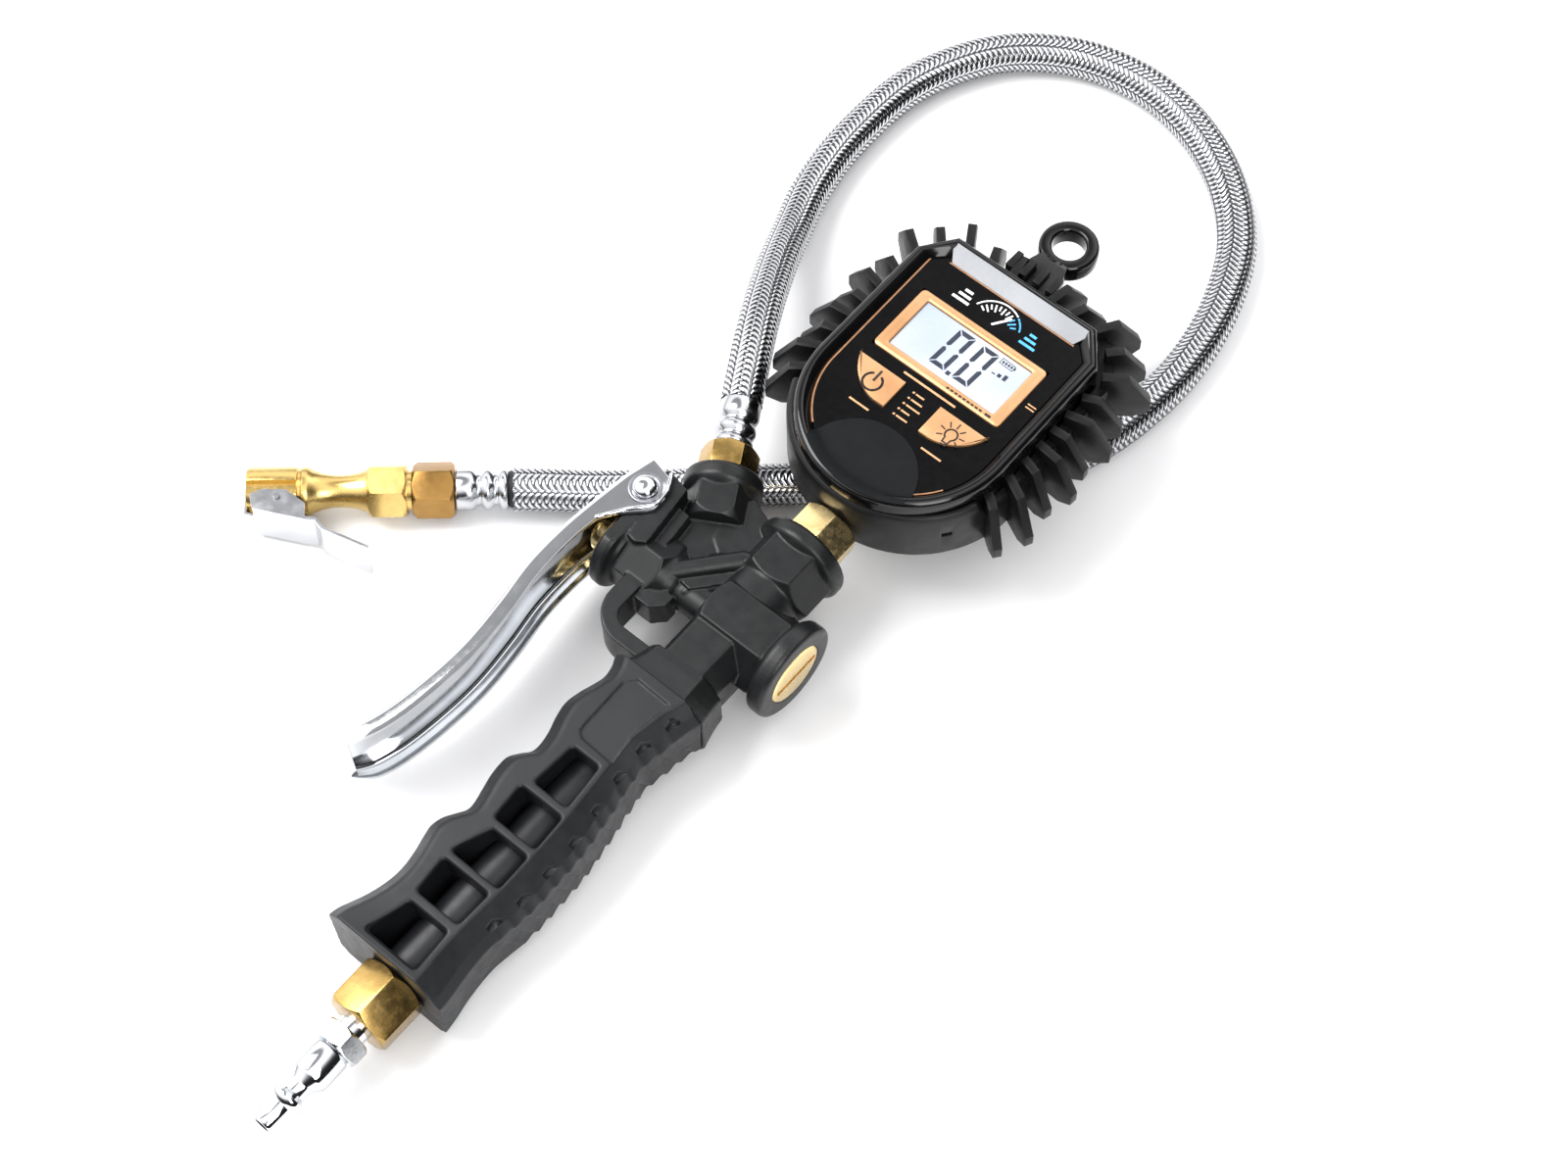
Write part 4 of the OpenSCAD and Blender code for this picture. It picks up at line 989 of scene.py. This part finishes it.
# ---- Chuck, built up along its own axis from the hose's end ----
CHUCK_SLEEVE = show("chuck_sleeve", ferrule(Matrix()), "body", CRIMP, ["chuck_ferrule"], where=CHUCK,
                    angle=60)
chuck_nut = Solid()
chuck_nut.nut(15, 16.3, 28.8, 8, chamfer=1.1)
CHUCK_NUT = brass_nut("chuck_nut", chuck_nut, BRASS_DARK, "hose_nut", CHUCK)
barrel = Solid()
barrel.turned([(5.6, 28.8), (6.0, 29.1), (6.0, 31.0)])
barrel.nut(15, 30.6, 42.1, 22, chamfer=1.1)
barrel.turned([
    (6.9, 41.8), (6.5, 42.6), (5.7, 44.4), (5.1, 47.0), (4.8, 50.0), (4.95, 53.0), (5.5, 56.0), (6.4, 58.4),
    (7.2, 59.6), (7.4, 60.2), (7.4, 61.6), (6.9, 62.0), (6.9, 62.7), (7.4, 63.1), (7.5, 63.6), (7.5, 77.2),
    (7.2, 78.0)])
bore = Solid().turned([(2.0, 24), (2.0, 63.99), (4.4, 64.0), (4.4, 66.9), (4.0, 66.91), (4.0, 79.5)])
flats = Solid().box((-16, 0.5, 63), (-6, 20.5, 93)).box((6, 0.5, 63), (16, 20.5, 93))
flats.box((-2.5, 3.8, 67), (2.5, 13.8, 87))
clip_way = Solid().turned([(1.03, -16), (1.03, 16)], shift(0, 6.2, 68.5) @ ALONG_X)
BARREL = show("chuck_barrel", barrel, "body", BRASS_CHUCK, ["chuck_body"], where=CHUCK,
              cut=(bore, flats, clip_way), angle=35)

# ---- Gland rim and valve spring ----
gland_rim = Solid()
gland_rim.turned([
    (8.4, -45.3), (11.2, -45.3), (11.6, -45.0), (11.7, -44.6), (11.6, -44.45), (8.4, -44.45)], ALONG_X,
    closed=True)
show("gland_rim", gland_rim, "body", BRASS, angle=40)


def coil(x0, x1, turns=3, radius=3.9, wire=0.38, steps=24, sides=8):
    """A round-wire coil along X."""
    rings = []
    for k in range(turns * steps + 1):
        w = 2 * math.pi * k / steps
        x = x0 + wire + (x1 - x0 - 2 * wire) * k / (turns * steps)
        rings.append([(x + dx, math.cos(w) * (radius + dr), math.sin(w) * (radius + dr))
                      for dx, dr in arc(0, 0, wire, [360 * q / sides for q in range(sides)])])
    return Solid().loft(rings)


# The valve spring closes up in the middle as the plunger is pushed in.
show("spring_front", coil(5.0, 8.9), "plunger", SPRING, ["valve_spring"], angle=60)
show("spring_rear", coil(11.9, 15.2), "body", SPRING, ["valve_spring"], angle=60)

# ---- Hose ----
# The middle of its route over the table, from the valve's ferrule to the chuck's.
HOSE_LIE = [
    (-55.5, 72, 27.5), (-65, 88, 25), (-76, 108, 18), (-86, 129, 10.5), (-94, 150, 7.4), (-98, 175, 6.6),
    (-96.5, 205, 6.6), (-84.5, 232, 6.6), (-64, 249, 6.6), (-40, 255, 6.6), (-16, 251, 6.6), (6, 239, 6.6),
    (23, 221, 6.6), (33, 199, 6.6), (38, 176, 6.6), (38.5, 155, 6.6), (35, 132, 6.6), (27, 111, 6.6),
    (13, 92, 6.6), (-5, 75, 6.6), (-27, 56, 6.6), (-50, 33.5, 6.6), (-68, 16.5, 7.3), (-79, 6.6, 8.4)]


class Route:
    """A smooth line with a frame carried along it, read by length."""

    def __init__(self, points, first, last, steps=24):
        self.p = spline(points, steps)
        self.s = [0.0]
        for a, b in zip(self.p, self.p[1:]):
            self.s.append(self.s[-1] + (b - a).length)
        n = len(self.p)
        self.t = [(self.p[min(n - 1, i + 1)] - self.p[max(0, i - 1)]).normalized() for i in range(n)]
        self.t[0], self.t[-1] = first, last
        a = Vector((0, 0, 1)).cross(self.t[0]).normalized()
        self.a = []
        for t in self.t:
            a = (a - t * a.dot(t)).normalized()
            self.a.append(a)
        self.length = self.s[-1]

    def at(self, s):
        """The place, and two directions square to the line and to each other."""
        s = min(max(s, 0.0), self.length)
        i = max(0, bisect.bisect_left(self.s, s) - 1)
        f = (s - self.s[i]) / (self.s[i + 1] - self.s[i])
        t = self.t[i].lerp(self.t[i + 1], f).normalized()
        a = self.a[i].lerp(self.a[i + 1], f)
        a = (a - t * a.dot(t)).normalized()
        return self.p[i].lerp(self.p[i + 1], f), a, t.cross(a)

    def ring(self, s, r, sides):
        p, a, b = self.at(s)
        turns = [2 * math.pi * i / sides for i in range(sides)]
        return [p + (a * math.cos(w) + b * math.sin(w)) * r for w in turns]


def along_port(s):
    """A place at distance s out along the hose port's axis."""
    return TOOL @ Vector((PORT_X - math.sin(PORT_TURN) * s, math.cos(PORT_TURN) * s, 0))


port_way = (TOOL.to_3x3() @ Vector((-math.sin(PORT_TURN), math.cos(PORT_TURN), 0))).normalized()
chuck_way = Vector((math.cos(CHUCK_TURN), math.sin(CHUCK_TURN), 0))
route = Route([along_port(FERRULE_S + FERRULE_LENGTH)] + [VALVE_AT + Vector(p) for p in HOSE_LIE]
              + [VALVE_AT + Vector(CHUCK_AT)], port_way, chuck_way)


def braided(name, strands=12, pitch=24.0, width=1.5, lift=0.2, crown=0.16):
    """A dark core under two sets of flat strands, each over two and under two of the other.

    Each point's tag is its UV: its place across the strand, which places the painted highlight and edge
    shade, a half more where it runs under, which gives the painted shadow there, and its place along the
    hose."""
    core_sides, core_step = 20, 2.5
    n = int(route.length / core_step) + 1
    core = Solid().loft([route.ring(route.length * k / n, HOSE_R - 0.8, core_sides) for k in range(n + 1)])
    points, faces = core.points, core.faces
    marks, tag = [0] * len(faces), [(0.5, 0.5)] * len(points)
    mid = HOSE_R - 0.36
    slope = math.atan2(2 * math.pi * mid, pitch)
    gap = pitch / (2 * strands)
    count = int(route.length / gap)
    frames = [route.at(k * gap) for k in range(-4, count + 5)]
    for hand in (1, -1):
        for i in range(strands):
            base = len(points)
            for m in range(count + 1):
                s = m * gap
                rank = (2 * i + m) % 4 if hand > 0 else (2 * i - m) % 4
                over = rank in (0, 1) if hand > 0 else rank not in (0, 1)
                angle = hand * 2 * math.pi * s / pitch + 2 * math.pi * i / strands
                for q in (-1, 0, 1):
                    ds = q * math.sin(slope) * width / 2
                    da = -hand * q * math.cos(slope) * width / 2 / mid
                    x = min(max((s + ds) / gap, 0.0), count) + 4
                    c = int(x)
                    f = x - c
                    p0, a0, b0 = frames[c]
                    p1, a1, b1 = frames[min(c + 1, len(frames) - 1)]
                    p, a, b = p0.lerp(p1, f), a0.lerp(a1, f), b0.lerp(b1, f)
                    r = mid + (lift if over else -lift) + (crown if q == 0 else 0)
                    points.append(p + (a * math.cos(angle + da) + b * math.sin(angle + da)) * r)
                    tag.append(((q + 1) / 4 + (0.0 if over else 0.5), s * 0.2))
            for m in range(count):
                for q in (0, 1):
                    v = base + m * 3 + q
                    quad = (v, v + 1, v + 4, v + 3)
                    faces.append(quad if hand < 0 else tuple(reversed(quad)))
                    marks.append(1)
    mesh = bpy.data.meshes.new(name)
    mesh.from_pydata([p * 0.001 for p in points], [], faces)
    layer = mesh.uv_layers.new(name="strand")
    corner = [0] * len(mesh.loops)
    mesh.loops.foreach_get("vertex_index", corner)
    layer.data.foreach_set("uv", [c for v in corner for c in tag[v]])
    mesh.polygons.foreach_set("material_index", marks)
    mesh.polygons.foreach_set("use_smooth", [True] * len(mesh.polygons))
    mesh.update()
    return placed(name, mesh)


def strand_steel():
    """Painted highlight down the middle of each strand and painted shade at its edges, with painted shadow
    where it runs under.
    """
    m = Mat("strand_steel", metallic=1.0)
    across = m.new("ShaderNodeSeparateXYZ")
    m.link(m.place(coord="UV"), across.inputs[0])
    # over: painted highlight in the middle and painted shade at the edges; under: the same, darker, as
    # painted shadow.
    over = [(0.0, (42, 42, 44)), (0.1, (160, 161, 164)), (0.25, (236, 237, 239)), (0.4, (160, 161, 164)),
            (0.5, (42, 42, 44))]
    under = [(0.62, (98, 99, 102)), (0.75, (150, 151, 154)), (0.88, (98, 99, 102)), (1.0, (34, 34, 36))]
    m.colour(across.outputs["X"], [(at, linear(*colour)) for at, colour in over + under])
    m.rough(m.noise(700, 3), 0.16, 0.3)
    wires = m.new("ShaderNodeTexWave")
    wires.inputs["Scale"].default_value = 0.8
    wires.inputs["Distortion"].default_value = 0.4
    m.link(m.place((1, 0.1, 1), "UV"), wires.inputs["Vector"])
    m.raised(wires.outputs["Fac"], 0.00012, 0.6)
    return m.m


hose = braided("hose_braid")
hose.data.materials.append(moulded_plastic("hose_core", (16, 16, 17), (30, 30, 32)))
hose.data.materials.append(strand_steel())
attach(hose, "body")
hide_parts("hose")

# ---- Carried-over nodes ----
CARRIED = [
    ("air_tube", TUBE, 0.3), ("gland", BRASS, 0.3), ("plunger", BRASS, 0.3), ("pin_clip", SPRING, 0.1),
    ("lcd_panel", LCD, 0.1), ("battery_door", BOOT, 0.3), ("chuck_gasket", SEAL, 0.1),
    ("chuck_depressor", BRASS_CHUCK, 0.1), ("chuck_clip", NICKEL, 0.15), ("clip_pin", SPRING, 0.1),
    ("clip_spring", SPRING, 0.1), ("end_plug_seal", SEAL, 0), ("poppet", BRASS, 0),
    ("poppet_seal", SEAL, 0), ("plunger_seal", SEAL, 0), ("stem_seal", SEAL, 0), ("circuit_board", BOOT, 0),
    ("pressure_sensor", SPRING, 0), ("battery_cells", BOOT, 0), ("case_screws", SPRING, 0)]


def keep(name, mat, bevel):
    """A carried-over node with a finished material and slightly broken edges."""
    obj = node[name]
    obj.data.materials.clear()
    obj.data.materials.append(mat)
    weld = obj.modifiers.new("weld", "WELD")
    weld.merge_threshold = 0.00001
    flat = obj.modifiers.new("flat", "DECIMATE")
    flat.decimate_type = "DISSOLVE"
    flat.angle_limit = math.radians(0.5)
    if bevel:
        break_edges(obj, bevel, 2, 28)


for name, mat, bevel in CARRIED:
    keep(name, mat, bevel)

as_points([tuple(p * 0.001) for p in route.p[::6]] + [tuple(route.p[-1] * 0.001)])
